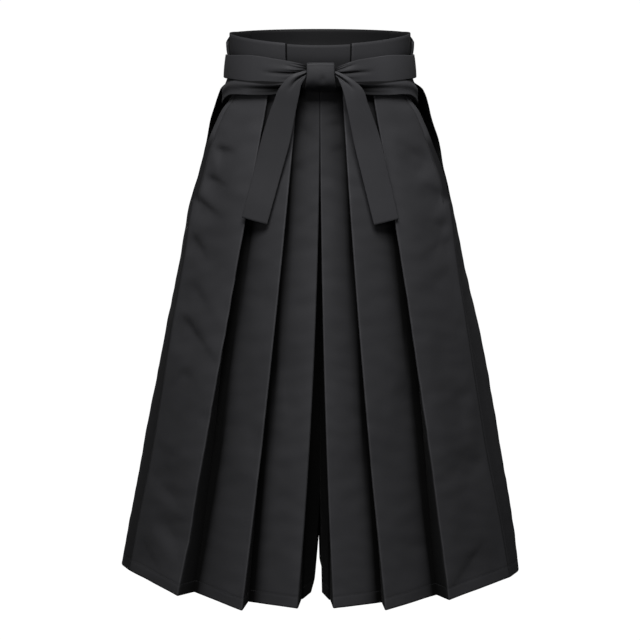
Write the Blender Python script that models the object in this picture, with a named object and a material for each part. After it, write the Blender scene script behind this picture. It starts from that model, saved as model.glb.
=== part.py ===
"""Hakama trousers: pleated, divided, open at the sides, held up by two wrapped ties.

Metres, +Z up. -Y is the front and -X is the wearer's right. The origin is on the
waist's upright centre line, at the height where the ties are pulled tight.
Each leg is worked out on its own half plan, where x is the distance from the
centre plane, and then placed on its side.
"""

import math
from collections import namedtuple

import bmesh
import bpy
from mathutils import Vector

# ---- driving dimensions -------------------------------------------------------------

CLOTH = 0.0015           # wall of a panel
BAND = 0.0020            # wall of a waistband or a tie, which are folded double
FOLD = 0.0025            # spacing of the layers at a pressed fold
SEAM = 0.0005            # space left between two pieces at a seam
OVER_FOLD = 0.005        # how far a panel runs flat past the fold that lies on it
PANEL_BULGE = 0.0020     # how far a flat panel's middle stands out at the waist

WAIST_Z = -0.018         # top edge of the pleated panels, under the waistband
CROTCH_Z = -0.420        # where the two legs part
OPENING_Z = -0.212       # lower end of the side openings
HEM_Z = -0.825

WAIST_HALF_WIDTH = 0.1405    # of the front waistband's ring
WAIST_HALF_DEPTH = 0.1000
BACK_HALF_WIDTH = 0.1465     # of the back waistband's ring, which laps over it
BACK_HALF_DEPTH = 0.1040
WAIST_TOP_FRONT = 0.0413     # height of the waistband's top edge at the middle
WAIST_TOP_RISE = 0.0098      # how much higher it is at the sides
WAIST_TOP_BACK = 0.0490
BACK_END_TOP = 0.0360        # top of the back waistband's ends, at the sides
CENTRE_DROP = 0.0015         # how much lower the middle piece's top edge is
LAP = 0.0024                 # from the middle piece out to the side pieces
LAP_WIDTH = 0.010            # how far the side pieces run over the middle piece
CENTRE_RIGHT_X = 0.0530      # the side pieces' upright edges
CENTRE_LEFT_X = 0.0485

PANEL_BOW = 0.007            # how far panel 1 bows out at the waist

# One row for each height of the cut. Distances from the centre plane: the front's outer
# edge and the widest place of the back, on both sides. back_y is the back's depth.
Section = namedtuple("Section", "z edge_right edge_left side_right side_left back_y")
SECTIONS = (
    Section(WAIST_Z, 0.1280, 0.1280, 0.1480, 0.1482, 0.1052),
    Section(-0.048, 0.1400, 0.1400, 0.1575, 0.1635, 0.1115),
    Section(-0.064, 0.1545, 0.1555, 0.1645, 0.1705, 0.1140),
    Section(-0.085, 0.1650, 0.1660, 0.1715, 0.1770, 0.1175),
    Section(-0.125, 0.1785, 0.1815, 0.1800, 0.1895, 0.1225),
    Section(-0.165, 0.1895, 0.1945, 0.1905, 0.1965, 0.1260),
    Section(OPENING_Z, 0.2015, 0.2040, 0.2050, 0.2085, 0.1290),
    Section(-0.300, 0.2155, 0.2160, 0.2225, 0.2260, 0.1330),
    Section(CROTCH_Z, 0.2380, 0.2355, 0.2470, 0.2535, 0.1390),
    Section(-0.520, 0.2545, 0.2520, 0.2670, 0.2735, 0.1445),
    Section(-0.620, 0.2720, 0.2695, 0.2865, 0.2910, 0.1500),
    Section(-0.720, 0.2930, 0.2905, 0.3065, 0.3090, 0.1550),
    Section(HEM_Z, 0.3140, 0.3100, 0.3270, 0.3245, 0.1600),
)

# One row for each pleat of a front, from the side to the centre: where its fold lies at
# the waist, half way down and at the hem, how deep it is pressed at the waist and at the
# hem, and the angle through which its fold has opened at the hem.
Pleat = namedtuple("Pleat", "top_x mid_x hem_x top_y hem_y top_depth hem_depth open_angle")
FRONT_PLEATS_RIGHT = (
    Pleat(0.0780, 0.1520, 0.2260, -0.0870, -0.1370, 0.032, 0.028, 90.0),
    Pleat(0.0350, 0.0750, 0.1226, -0.1010, -0.2010, 0.032, 0.037, 55.0),
    Pleat(0.0019, 0.0099, 0.0354, -0.1035, -0.1920, 0.026, 0.039, 76.0),
)
FRONT_PLEATS_LEFT = (
    Pleat(0.0800, 0.1475, 0.2040, -0.0858, -0.1550, 0.032, 0.027, 83.0),
    Pleat(0.0355, 0.0645, 0.1030, -0.1010, -0.2000, 0.032, 0.032, 57.0),
    Pleat(0.0019, 0.0069, 0.0214, -0.1035, -0.1910, 0.026, 0.034, 78.0),
)
# The back has one deep pleat on each side, facing the centre.
BACK_PLEAT = Pleat(0.0160, 0.0420, 0.0700, 0.1060, 0.1600, 0.030, 0.036, 60.0)

EDGE_Y_TOP = -0.0360         # the front's outer edge, at the waist
EDGE_Y_HEM_RIGHT = -0.0180   # and at the hem
EDGE_Y_HEM_LEFT = -0.0500
SIDE_Y_TOP = 0.0100          # the widest place of the back, at the waist
SIDE_Y_HEM_RIGHT = 0.0060    # and at the hem
SIDE_Y_HEM_LEFT = -0.0250
BACK_EDGE_Y = 0.0260         # the back's front edge at the waist, behind the opening
SEWN_HALF_WIDTH = 0.1474     # the ring on which the backs are sewn to the waistband
SEWN_HALF_DEPTH = 0.1050
SEWN_REACH_SIDE = 0.022      # how far down that ring shapes them, at the side and behind
SEWN_REACH_BACK = 0.147

SEAT_X = 0.0009              # the centre seams lie this far from the centre plane
FRONT_SEAM_Y_TOP = -0.0930   # the front centre seam, at the waist and at the hem
FRONT_SEAM_Y_HEM = -0.1200
BACK_SEAM_Y_TOP = 0.0960     # the back centre seam
BACK_SEAM_Y_HEM = 0.1240
PART_X_CROTCH = 0.0014       # how far the legs stand from the centre plane at the crotch
PART_X_FRONT_RIGHT = 0.0116  # and at the hem, in front
PART_X_FRONT_LEFT = 0.0035
PART_X_BACK_RIGHT = 0.0045   # and at the back
PART_X_BACK_LEFT = 0.0018
INNER_SWAY = 0.0035          # how far the inner legs hang out of line, both the same way
LEG_SEAM = 0.0020            # space between an inner leg and the panel sewn to it

# One row for each place along a tie, from the knot to the side: the angle round the waist
# in degrees, the heights of both edges, and how far the gathered cloth stands out.
TiePlace = namedtuple("TiePlace", "angle top bottom lift")
UPPER_TIE = (
    TiePlace(9.8, 0.0100, -0.0060, 0.0060),
    TiePlace(14.0, 0.0138, -0.0100, 0.0040),
    TiePlace(20.8, 0.0172, -0.0140, 0.0020),
    TiePlace(30.7, 0.0202, -0.0166, 0.0005),
    TiePlace(44.0, 0.0227, -0.0160, 0.0),
    TiePlace(60.0, 0.0212, -0.0155, 0.0),
    TiePlace(76.0, 0.0185, -0.0160, 0.0),
    TiePlace(92.6, 0.0175, -0.0171, 0.0),
)
LOWER_TIE = (
    TiePlace(11.5, -0.0030, -0.0220, 0.0015),
    TiePlace(17.2, -0.0010, -0.0285, 0.0005),
    TiePlace(25.6, 0.0, -0.0331, 0.0),
    TiePlace(42.8, -0.0020, -0.0368, 0.0),
    TiePlace(57.8, -0.0050, -0.0415, 0.0),
    TiePlace(69.0, -0.0090, -0.0480, 0.0),
    TiePlace(80.0, -0.0135, -0.0540, 0.0),
    TiePlace(89.5, -0.0155, -0.0580, 0.0),
)
# Half width and half depth of the rings that the ties' upper and lower edges follow.
UPPER_TIE_RINGS = (0.1465, 0.1068, 0.1490, 0.1135)
LOWER_TIE_RINGS = (0.1435, 0.1063, 0.1525, 0.1112)
LOWER_TIE_BACK_RINGS = (0.1435, 0.0905, 0.1525, 0.0915)   # inside the back panels
LOWER_TIE_BACK_RISE = 0.002

# One row for each place down a free end: its outer and inner edge, where the inner edge
# lies in depth, and how much further back the outer edge lies.
EndPlace = namedtuple("EndPlace", "outer_x outer_z inner_x inner_z y back")
TIE_END_RIGHT = (
    EndPlace(0.0240, 0.0052, 0.0228, -0.0080, -0.1270, 0.0000),
    EndPlace(0.0406, -0.0006, 0.0276, -0.0140, -0.1290, 0.0000),
    EndPlace(0.0588, -0.0186, 0.0314, -0.0304, -0.1288, 0.0010),
    EndPlace(0.0704, -0.0453, 0.0366, -0.0552, -0.1265, 0.0040),
    EndPlace(0.0868, -0.0942, 0.0453, -0.1004, -0.1225, 0.0080),
    EndPlace(0.1016, -0.1537, 0.0618, -0.1602, -0.1205, 0.0110),
    EndPlace(0.1195, -0.2211, 0.0812, -0.2298, -0.1200, 0.0120),
)
TIE_END_LEFT = (
    EndPlace(0.0258, 0.0044, 0.0248, -0.0080, -0.1270, 0.0000),
    EndPlace(0.0452, -0.0060, 0.0312, -0.0150, -0.1290, 0.0000),
    EndPlace(0.0623, -0.0209, 0.0362, -0.0304, -0.1288, 0.0010),
    EndPlace(0.0724, -0.0467, 0.0418, -0.0552, -0.1265, 0.0040),
    EndPlace(0.0894, -0.0942, 0.0508, -0.1004, -0.1225, 0.0080),
    EndPlace(0.1037, -0.1537, 0.0653, -0.1602, -0.1205, 0.0110),
    EndPlace(0.1202, -0.2234, 0.0830, -0.2305, -0.1200, 0.0120),
)

KNOT_CENTRE = (0.0009, -0.1265, -0.0050)
KNOT_HALF_WIDTH = 0.0205
KNOT_HALF_DEPTH = 0.0100
KNOT_HALF_HEIGHT = 0.0213
KNOT_WIDENING = 0.10         # share by which its lower end is wider than its middle

RIGHT = -1.0                 # the wearer's right is on -X
LEFT = 1.0

BLACK = (0.034, 0.034, 0.037, 1.0)
INNER_BLACK = (0.022, 0.022, 0.024, 1.0)


# ---- the plan of one side at one height ----------------------------------------------

def share_down(z):
    """0 at the panels' top edge and 1 at the hem."""
    return (WAIST_Z - z) / (WAIST_Z - HEM_Z)


def blend(start, end, share):
    return start + (end - start) * share


def through_three(top, mid, hem, share):
    """The smooth line through its values at shares 0, one half and 1."""
    bend = mid - (top + hem) / 2.0
    return blend(top, hem, share) + bend * 4.0 * share * (1.0 - share)


def inward(direction):
    """Square to a direction that runs from the side to the centre, into the garment."""
    return Vector((direction.y, -direction.x))


def fold_place(pleat, share):
    x = through_three(pleat.top_x, pleat.mid_x, pleat.hem_x, share)
    return Vector((x, blend(pleat.top_y, pleat.hem_y, share)))


def folded_panels(start, pleats, share, into):
    """Points of panels that each end in a fold, turn back and lead to the next one.

    start is where the first panel leaves the points before it, and into gives the
    direction square to a panel that points into the garment.
    """
    points = []
    before = start
    for number, pleat in enumerate(pleats):
        fold = fold_place(pleat, share)
        along = (fold - before).normalized()
        inner = into(along)
        middle = (before + fold) / 2.0
        points.append(middle - inner * PANEL_BULGE * (1.0 - share))
        opened = math.radians(pleat.open_angle) * share
        angle = math.pi - opened
        back = along * math.cos(angle) + inner * math.sin(angle)
        turn = along * math.cos(angle / 2.0) + inner * math.sin(angle / 2.0)
        depth = blend(pleat.top_depth, pleat.hem_depth, share)
        fold -= along * FOLD * math.cos(angle / 2.0)
        under_fold = fold + turn * FOLD
        valley = under_fold + back * depth
        under_valley = valley + turn * FOLD
        points.extend((fold, under_fold, valley, under_valley))
        if number + 1 < len(pleats):
            onward = (fold_place(pleats[number + 1], share) - under_valley).normalized()
            loose = min(1.0, opened / math.radians(30.0))
            way = (along * (1.0 - loose) + onward * loose).normalized()
            reach = OVER_FOLD + max(0.0, -depth * math.cos(angle))
            before = under_valley + way * reach
            points.append(before)
    return points


def front_seam(side, z, share):
    """Where the front's inner edge lies: the centre seam, and below it the leg's edge."""
    part_hem = PART_X_FRONT_RIGHT if side == RIGHT else PART_X_FRONT_LEFT
    return Vector((parting(z, part_hem), blend(FRONT_SEAM_Y_TOP, FRONT_SEAM_Y_HEM, share)))


def back_seam(side, z, share):
    part_hem = PART_X_BACK_RIGHT if side == RIGHT else PART_X_BACK_LEFT
    return Vector((parting(z, part_hem), blend(BACK_SEAM_Y_TOP, BACK_SEAM_Y_HEM, share)))


def parting(z, part_hem):
    """Distance from the centre plane: shut at the seam, opening down the legs."""
    if z > CROTCH_Z:
        return SEAT_X
    return blend(PART_X_CROTCH, part_hem, (CROTCH_Z - z) / (CROTCH_Z - HEM_Z))


def front_edge(side, section):
    share = share_down(section.z)
    if side == RIGHT:
        return Vector((section.edge_right, blend(EDGE_Y_TOP, EDGE_Y_HEM_RIGHT, share)))
    return Vector((section.edge_left, blend(EDGE_Y_TOP, EDGE_Y_HEM_LEFT, share)))


def front_plan(side, section):
    """The front of one leg, from its outer edge to the centre."""
    share = share_down(section.z)
    pleats = FRONT_PLEATS_RIGHT if side == RIGHT else FRONT_PLEATS_LEFT
    edge = front_edge(side, section)
    fold = fold_place(pleats[0], share)
    inner = inward((fold - edge).normalized())
    bow = PANEL_BOW * (1.0 - share) ** 2
    outer_third = edge.lerp(fold, 0.27) - inner * bow * 0.8
    inner_third = edge.lerp(fold, 0.52) - inner * bow
    points = [edge, outer_third, inner_third]
    points.extend(folded_panels(inner_third, pleats, share, inward))
    points.append(front_seam(side, section.z, share))
    return points


def sewn_on(point, z, behind):
    """A point of the back, drawn in to the waistband near the seam that joins them.

    behind is 0 at the side and 1 at the middle of the back.
    """
    reach = blend(SEWN_REACH_SIDE, SEWN_REACH_BACK, behind)
    near = max(0.0, min(1.0, (z - WAIST_Z + reach) / reach))
    near = near * near * (3.0 - 2.0 * near)
    size = math.hypot(point.x / SEWN_HALF_WIDTH, point.y / SEWN_HALF_DEPTH)
    return point * blend(1.0, 1.0 / size, near)


def back_plan(side, section):
    """The back of one leg, from the side seam or opening round to the centre."""
    share = share_down(section.z)
    seam = front_edge(side, section)
    if side == RIGHT:
        widest = Vector((section.side_right, blend(SIDE_Y_TOP, SIDE_Y_HEM_RIGHT, share)))
    else:
        widest = Vector((section.side_left, blend(SIDE_Y_TOP, SIDE_Y_HEM_LEFT, share)))
    if section.z > OPENING_Z + SEAM:
        open_share = (section.z - OPENING_Z) / (WAIST_Z - OPENING_Z)
        rise = math.sin(min(1.0, open_share * 1.6) * math.pi / 2.0)
        start = Vector((widest.x - 0.0006, blend(seam.y, BACK_EDGE_Y, rise)))
        widest.y = max(widest.y, start.y + 0.012)
    else:
        start = seam + (widest - seam).normalized() * SEAM * 1.6
    points = [start]
    if start.y < widest.y - 0.020:
        points.append((start + widest) / 2.0 + Vector((0.002, -0.001)))
    else:
        points.append((start + widest) / 2.0)
    points.append(widest)
    points = [sewn_on(point, section.z, 0.0) for point in points]
    fold = fold_place(BACK_PLEAT, share)
    fold.y = section.back_y
    for turn in (22.0, 42.0, 60.0, 75.0):
        across = math.cos(math.radians(turn)) ** 0.75
        deep = math.sin(math.radians(turn)) ** 0.9
        x = blend(fold.x, widest.x, across)
        point = Vector((x, blend(widest.y, section.back_y, deep)))
        points.append(sewn_on(point, section.z, math.sin(math.radians(turn))))
    level_pleat = BACK_PLEAT._replace(top_y=section.back_y, hem_y=section.back_y)
    folded = folded_panels(points[-1], (level_pleat,), share, lambda way: -inward(way))
    points.extend(folded)
    points.append(back_seam(side, section.z, share))
    return points


def inner_leg_plan(side, section):
    """The inner leg, from the front's inner edge to the back's."""
    share = share_down(section.z)
    front = front_seam(side, section.z, share) + Vector((0.0, LEG_SEAM))
    back = back_seam(side, section.z, share) - Vector((0.0, LEG_SEAM))
    sway = Vector((side * INNER_SWAY, 0.0))
    return [front, front.lerp(back, 0.3) + sway, front.lerp(back, 0.7) - sway, back]


# ---- walls ----------------------------------------------------------------------------

def offset_line(points, distance):
    """The line at a distance to one side of an open line, with mitred corners."""
    ways = []
    for first, second in zip(points, points[1:]):
        ways.append((second - first).normalized())
    moved = []
    for index, point in enumerate(points):
        before = ways[max(0, index - 1)]
        after = ways[min(len(ways) - 1, index)]
        square = inward(before) + inward(after)
        square.normalize()
        reach = max(0.45, square.dot(inward(before)))
        moved.append(point + square * distance / reach)
    return moved


def add_object(name, bm, colour, roughness):
    bmesh.ops.recalc_face_normals(bm, faces=bm.faces)
    mesh = bpy.data.meshes.new(name)
    bm.to_mesh(mesh)
    bm.free()
    piece = bpy.data.objects.new(name, mesh)
    bpy.context.scene.collection.objects.link(piece)
    material = bpy.data.materials.new(name)
    material.use_nodes = True
    shader = material.node_tree.nodes["Principled BSDF"]
    shader.inputs["Base Color"].default_value = colour
    shader.inputs["Roughness"].default_value = roughness
    shader.inputs["Metallic"].default_value = 0.0
    mesh.materials.append(material)
    return piece


def loft(bm, loops):
    """Join closed loops of the same number of points, and close both ends.

    Each loop runs along one face of a wall and back along the other, so its ends are
    closed with a strip of four-sided faces. The wall's two faces are cut into triangles
    along matching diagonals, which keeps a twisted wall's thickness even.
    """
    rings = [[bm.verts.new(point) for point in loop] for loop in loops]
    count = len(rings[0])
    for upper, lower in zip(rings, rings[1:]):
        for index in range(count):
            after = (index + 1) % count
            if index < count // 2:
                bm.faces.new((upper[index], upper[after], lower[after]))
                bm.faces.new((upper[index], lower[after], lower[index]))
            else:
                bm.faces.new((upper[index], upper[after], lower[index]))
                bm.faces.new((upper[after], lower[after], lower[index]))
    for ring in (rings[0], rings[-1]):
        for index in range(count // 2 - 1):
            other = count - 1 - index
            bm.faces.new((ring[index], ring[index + 1], ring[other - 1], ring[other]))


def panel(name, side, plan, sections, colour=BLACK):
    """A hanging panel: the wall on a plan line at each height."""
    bm = bmesh.new()
    loops = []
    for section in sections:
        line = plan(side, section)
        outer = offset_line(line, -CLOTH / 2.0)
        inner = offset_line(line, CLOTH / 2.0)
        loop = outer + inner[::-1]
        loops.append([Vector((side * point.x, point.y, section.z)) for point in loop])
    loft(bm, loops)
    return add_object(name, bm, colour, 0.72)


def band(name, places, colour=BLACK, wall=BAND):
    """A strip of cloth through places, each given as its two edge points and its way out."""
    bm = bmesh.new()
    loops = []
    for first, second, out in places:
        half = out.normalized() * wall / 2.0
        loops.append([first + half, second + half, second - half, first - half])
    loft(bm, loops)
    return add_object(name, bm, colour, 0.65)


# ---- waistband ------------------------------------------------------------------------

def ring_point(half_width, half_depth, angle, z):
    """A point on an oval ring: angle 0 is the front's middle, and a quarter turn is +X."""
    return Vector((half_width * math.sin(angle), -half_depth * math.cos(angle), z))


def ring_way_out(half_width, half_depth, angle):
    return Vector((math.sin(angle) / half_width, -math.cos(angle) / half_depth, 0.0))


def ring_angle(x, half_width):
    return math.asin(max(-1.0, min(1.0, x / half_width)))


def steps(start, end, count):
    return [blend(start, end, index / count) for index in range(count + 1)]


def front_waistband(name, start_angle, end_angle, offset, drop, count):
    half_width = WAIST_HALF_WIDTH + offset
    half_depth = WAIST_HALF_DEPTH + offset
    places = []
    for angle in steps(start_angle, end_angle, count):
        top = WAIST_TOP_FRONT + WAIST_TOP_RISE * math.sin(angle) ** 2 - drop
        places.append((
            ring_point(half_width, half_depth, angle, top),
            ring_point(half_width, half_depth, angle, WAIST_Z + SEAM),
            ring_way_out(half_width, half_depth, angle),
        ))
    return band(name, places)


def back_waistband():
    """The back's band, with lower ends that lap over the front's at the sides."""
    places = []
    start = math.radians(93.0)
    end = math.radians(267.0)
    for angle in steps(start, end, 22):
        behind = max(0.0, -math.cos(angle))
        rise = min(1.0, behind / 0.45)
        top = blend(BACK_END_TOP, WAIST_TOP_BACK, rise * rise * (3.0 - 2.0 * rise))
        places.append((
            ring_point(BACK_HALF_WIDTH, BACK_HALF_DEPTH, angle, top),
            ring_point(BACK_HALF_WIDTH, BACK_HALF_DEPTH, angle, WAIST_Z + SEAM),
            ring_way_out(BACK_HALF_WIDTH, BACK_HALF_DEPTH, angle),
        ))
    return band("waistband_back", places)


def make_waistband():
    right_lap = ring_angle(-CENTRE_RIGHT_X, WAIST_HALF_WIDTH)
    left_lap = ring_angle(CENTRE_LEFT_X, WAIST_HALF_WIDTH)
    hidden = LAP_WIDTH / WAIST_HALF_DEPTH
    back_end = math.radians(97.0)
    front_waistband("waistband_front_centre", right_lap - hidden, left_lap + hidden,
                    -LAP, CENTRE_DROP, 8)
    front_waistband("waistband_front_right", -back_end, right_lap, 0.0, 0.0, 10)
    front_waistband("waistband_front_left", left_lap, back_end, 0.0, 0.0, 10)
    back_waistband()


# ---- ties and knot --------------------------------------------------------------------

def tie_stretch(name, side, table, rings):
    """A tie from beside the knot to the side, lying on the oval of the waist."""
    top_width, top_depth, bottom_width, bottom_depth = rings
    places = []
    for place in table:
        angle = side * math.radians(place.angle)
        lift = place.lift
        top = ring_point(top_width + lift, top_depth + lift, angle, place.top)
        bottom = ring_point(bottom_width + lift, bottom_depth + lift, angle, place.bottom)
        places.append((top, bottom, ring_way_out(top_width, top_depth, angle)))
    return band(name, places)


def lower_tie_back():
    """The lower tie's stretch round the back, inside the back panels."""
    top_width, top_depth, bottom_width, bottom_depth = LOWER_TIE_BACK_RINGS
    last = LOWER_TIE[-1]
    places = []
    for angle in steps(math.radians(89.8), math.radians(270.2), 18):
        level = LOWER_TIE_BACK_RISE * max(0.0, -math.cos(angle))
        places.append((
            ring_point(top_width, top_depth, angle, last.top + level),
            ring_point(bottom_width, bottom_depth, angle, last.bottom + level),
            ring_way_out(top_width, top_depth, angle),
        ))
    return band("lower_tie_back", places)


def tie_end(name, side, table):
    """A free end, from beside the knot down over the pleats."""
    places = []
    for place in table:
        outer = Vector((side * place.outer_x, place.y + place.back, place.outer_z))
        inner = Vector((side * place.inner_x, place.y, place.inner_z))
        out = Vector((side * place.back, place.inner_x - place.outer_x, 0.0))
        places.append((outer, inner, out))
    return band(name, places)


def make_knot():
    """A soft block with rounded corners, a little wider at its lower end."""
    bm = bmesh.new()
    bmesh.ops.create_cube(bm, size=2.0)
    bmesh.ops.bevel(bm, geom=bm.edges[:], offset=0.42, segments=2, profile=0.5,
                    affect="EDGES")
    centre = Vector(KNOT_CENTRE)
    for vert in bm.verts:
        wide = KNOT_HALF_WIDTH * (1.0 + KNOT_WIDENING * (0.5 - 0.5 * vert.co.z))
        vert.co = centre + Vector((
            vert.co.x * wide,
            vert.co.y * KNOT_HALF_DEPTH,
            vert.co.z * KNOT_HALF_HEIGHT,
        ))
    return add_object("knot", bm, BLACK, 0.62)


# ---- the garment ----------------------------------------------------------------------

def main():
    for old in list(bpy.data.objects):
        bpy.data.objects.remove(old)
    leg_sections = [section for section in SECTIONS if section.z <= CROTCH_Z]
    for side, word in ((RIGHT, "right"), (LEFT, "left")):
        panel("front_" + word, side, front_plan, SECTIONS)
        panel("back_" + word, side, back_plan, SECTIONS)
        panel("inner_leg_" + word, side, inner_leg_plan, leg_sections, INNER_BLACK)
        tie_stretch("upper_tie_" + word, side, UPPER_TIE, UPPER_TIE_RINGS)
        tie_stretch("lower_tie_" + word, side, LOWER_TIE, LOWER_TIE_RINGS)
    make_waistband()
    lower_tie_back()
    make_knot()
    tie_end("tie_end_right", RIGHT, TIE_END_RIGHT)
    tie_end("tie_end_left", LEFT, TIE_END_LEFT)


main()
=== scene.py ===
"""Finish of the pleated hakama trousers: cloth, pleats, creases, ties, knot and stitches.

Metres, +Z up. -Y is the front and -X is the wearer's right. Every panel is worked out
on the half plan of its own leg, where x is the distance from the centre plane, and is
then placed on its side.
"""

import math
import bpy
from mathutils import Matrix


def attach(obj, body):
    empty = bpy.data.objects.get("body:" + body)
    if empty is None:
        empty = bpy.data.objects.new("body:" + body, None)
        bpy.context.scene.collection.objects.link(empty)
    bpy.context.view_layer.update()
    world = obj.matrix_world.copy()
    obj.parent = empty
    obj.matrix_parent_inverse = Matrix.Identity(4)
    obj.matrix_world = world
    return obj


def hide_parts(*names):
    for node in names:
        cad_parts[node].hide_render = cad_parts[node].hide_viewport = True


bl_info = {
    "name": "Hakama trousers",
    "version": (1, 0, 0),
    "blender": (4, 5, 0),
    "location": "View3D > Sidebar > Hakama",
    "description": "Builds the cloth, ties, knot and stitching of pleated hakama trousers",
    "category": "Add Mesh",
}

from collections import namedtuple

import bpy
import numpy as np
from mathutils import Vector, noise

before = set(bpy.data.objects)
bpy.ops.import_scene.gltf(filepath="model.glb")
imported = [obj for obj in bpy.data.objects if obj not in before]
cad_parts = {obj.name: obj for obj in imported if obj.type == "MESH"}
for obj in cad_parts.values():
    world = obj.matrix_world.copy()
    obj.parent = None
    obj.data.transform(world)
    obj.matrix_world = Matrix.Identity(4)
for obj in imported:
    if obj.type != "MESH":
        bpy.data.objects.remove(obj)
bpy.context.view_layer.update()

RIGHT = -1.0                 # the wearer's right is on -X
LEFT = 1.0
SIDES = ((RIGHT, "right"), (LEFT, "left"))

# ---- sizes of the garment ------------------------------------------------------------

FOLD = 0.0025            # spacing of the layers at a pressed fold
OVER_FOLD = 0.005        # how far a panel runs flat past the fold that lies on it
PANEL_BULGE = 0.0020     # how far a flat panel's middle stands out at the waist
PANEL_BOW = 0.007        # how far panel 1 bows out at the waist

WAIST_Z = -0.018         # top edge of the pleated panels, under the waistband
CROTCH_Z = -0.420        # where the two legs part
OPENING_Z = -0.212       # lower end of the side openings
HEM_Z = -0.825
HEM_DEPTH = 0.018        # from the hem's edge up to its stitches
HEM_TURN_Z = -0.098      # below this a side opening's hem faces the side
EDGE_DEPTH = 0.012       # from a side opening's edge in to its stitches
EDGE_SEAM_TOP_Z = -0.050     # where those stitches go under the lower tie

WAIST_HALF_WIDTH = 0.1405    # of the front waistband's ring
WAIST_HALF_DEPTH = 0.1000
BACK_HALF_WIDTH = 0.1465     # of the back waistband's ring, which laps over it
BACK_HALF_DEPTH = 0.1040
WAIST_TOP_FRONT = 0.0413     # height of the waistband's top edge at the middle
WAIST_TOP_RISE = 0.0098      # how much higher it is at the sides
WAIST_TOP_BACK = 0.0490
BACK_END_TOP = 0.0360        # top of the back waistband's ends, at the sides
WAIST_DIP = 0.0030           # how far the ties pull the waistband in
WAIST_DIP_Z = 0.006          # where they pull it in most, and how far up and down that goes
WAIST_DIP_REACH = 0.014
BAND_UNEVEN = 0.0009         # how uneven the worn waistband's face is
BAND_ROWS = 14
BAND_LOW_Z = 0.026           # below this the ties cast painted shade on the waistband, and over how far
BAND_LOW_FADE = 0.018
LAP_SHADE_WIDTH = 0.0038     # how far in from a lap's edge its painted shadow reaches, and its fade
LAP_SHADE_FADE = 0.0010
BAND_MIDDLE_SHADE = (0.12, 0.40)         # the middle piece's painted shade, and what low down adds
BAND_SIDE_SHADE = 0.25       # the side pieces' painted shade low down, near the knot
BAND_SIDE_SHADE_X = 0.110    # how far from the middle that reaches, and its fade
BAND_SIDE_SHADE_FADE = 0.060
BAND_HIGHLIGHT_X = 0.12           # how far from the middle the waistband's painted highlight comes in fully
FRONT_END_ANGLE = 128.0      # degrees round to the side pieces' ends, inside the back
BACK_END_ANGLE = 93.0        # and to the back waistband's ends
BACK_END_FOLD = 0.0036       # extra thickness where those ends are folded in
CENTRE_DROP = 0.0015         # how much lower the middle piece's top edge is
LAP = 0.0024                 # from the middle piece out to the side pieces
LAP_WIDTH = 0.010            # how far the side pieces run over the middle piece
CENTRE_RIGHT_X = 0.0530      # the side pieces' upright edges
CENTRE_LEFT_X = 0.0485

# One row for each height of the cut. Distances from the centre plane: the front's outer
# edge and the widest place of the back, on both sides. back_y is the back's depth.
Section = namedtuple("Section", "z edge_right edge_left side_right side_left back_y")
SECTIONS = (
    Section(WAIST_Z, 0.1280, 0.1280, 0.1480, 0.1482, 0.1052),
    Section(-0.048, 0.1395, 0.1395, 0.1608, 0.1666, 0.1115),
    Section(-0.064, 0.1515, 0.1520, 0.1663, 0.1720, 0.1140),
    Section(-0.085, 0.1620, 0.1622, 0.1733, 0.1770, 0.1175),
    Section(-0.125, 0.1785, 0.1783, 0.1812, 0.1895, 0.1225),
    Section(-0.165, 0.1895, 0.1932, 0.1905, 0.1965, 0.1260),
    Section(OPENING_Z, 0.2015, 0.2040, 0.2050, 0.2085, 0.1290),
    Section(-0.300, 0.2155, 0.2160, 0.2225, 0.2260, 0.1330),
    Section(CROTCH_Z, 0.2380, 0.2355, 0.2470, 0.2535, 0.1390),
    Section(-0.520, 0.2545, 0.2520, 0.2670, 0.2735, 0.1445),
    Section(-0.620, 0.2720, 0.2695, 0.2865, 0.2910, 0.1500),
    Section(-0.720, 0.2930, 0.2905, 0.3065, 0.3090, 0.1550),
    Section(HEM_Z, 0.3140, 0.3100, 0.3270, 0.3245, 0.1600),
)

# One row for each pleat, from the side to the centre: where its fold lies at the waist,
# half way down and at the hem, how deep it is pressed at the waist and at the hem, the
# angle through which its fold has opened at the hem, and how far past the fold the cloth
# under it gets full painted shadow, half way down and at the hem.
Pleat = namedtuple("Pleat", "top_x mid_x hem_x top_y hem_y top_depth hem_depth open_angle "
                            "shade_mid shade_hem")
FRONT_PLEATS = {
    RIGHT: (
        Pleat(0.0780, 0.1520, 0.2260, -0.0870, -0.1370, 0.032, 0.028, 90.0, 0.0160, 0.0060),
        Pleat(0.0350, 0.0750, 0.1226, -0.1010, -0.2010, 0.032, 0.037, 55.0, 0.0085, 0.0120),
        Pleat(0.0019, 0.0099, 0.0354, -0.1035, -0.1920, 0.026, 0.039, 76.0, 0.0100, 0.0100),
    ),
    LEFT: (
        Pleat(0.0800, 0.1475, 0.2040, -0.0858, -0.1550, 0.032, 0.027, 83.0, 0.0130, 0.0070),
        Pleat(0.0355, 0.0645, 0.1030, -0.1010, -0.2000, 0.032, 0.032, 57.0, 0.0070, 0.0100),
        Pleat(0.0019, 0.0069, 0.0214, -0.1035, -0.1910, 0.026, 0.034, 78.0, 0.0100, 0.0100),
    ),
}
BACK_PLEAT = Pleat(0.0160, 0.0420, 0.0700, 0.1060, 0.1600, 0.030, 0.036, 60.0, 0.0080, 0.0080)

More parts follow.
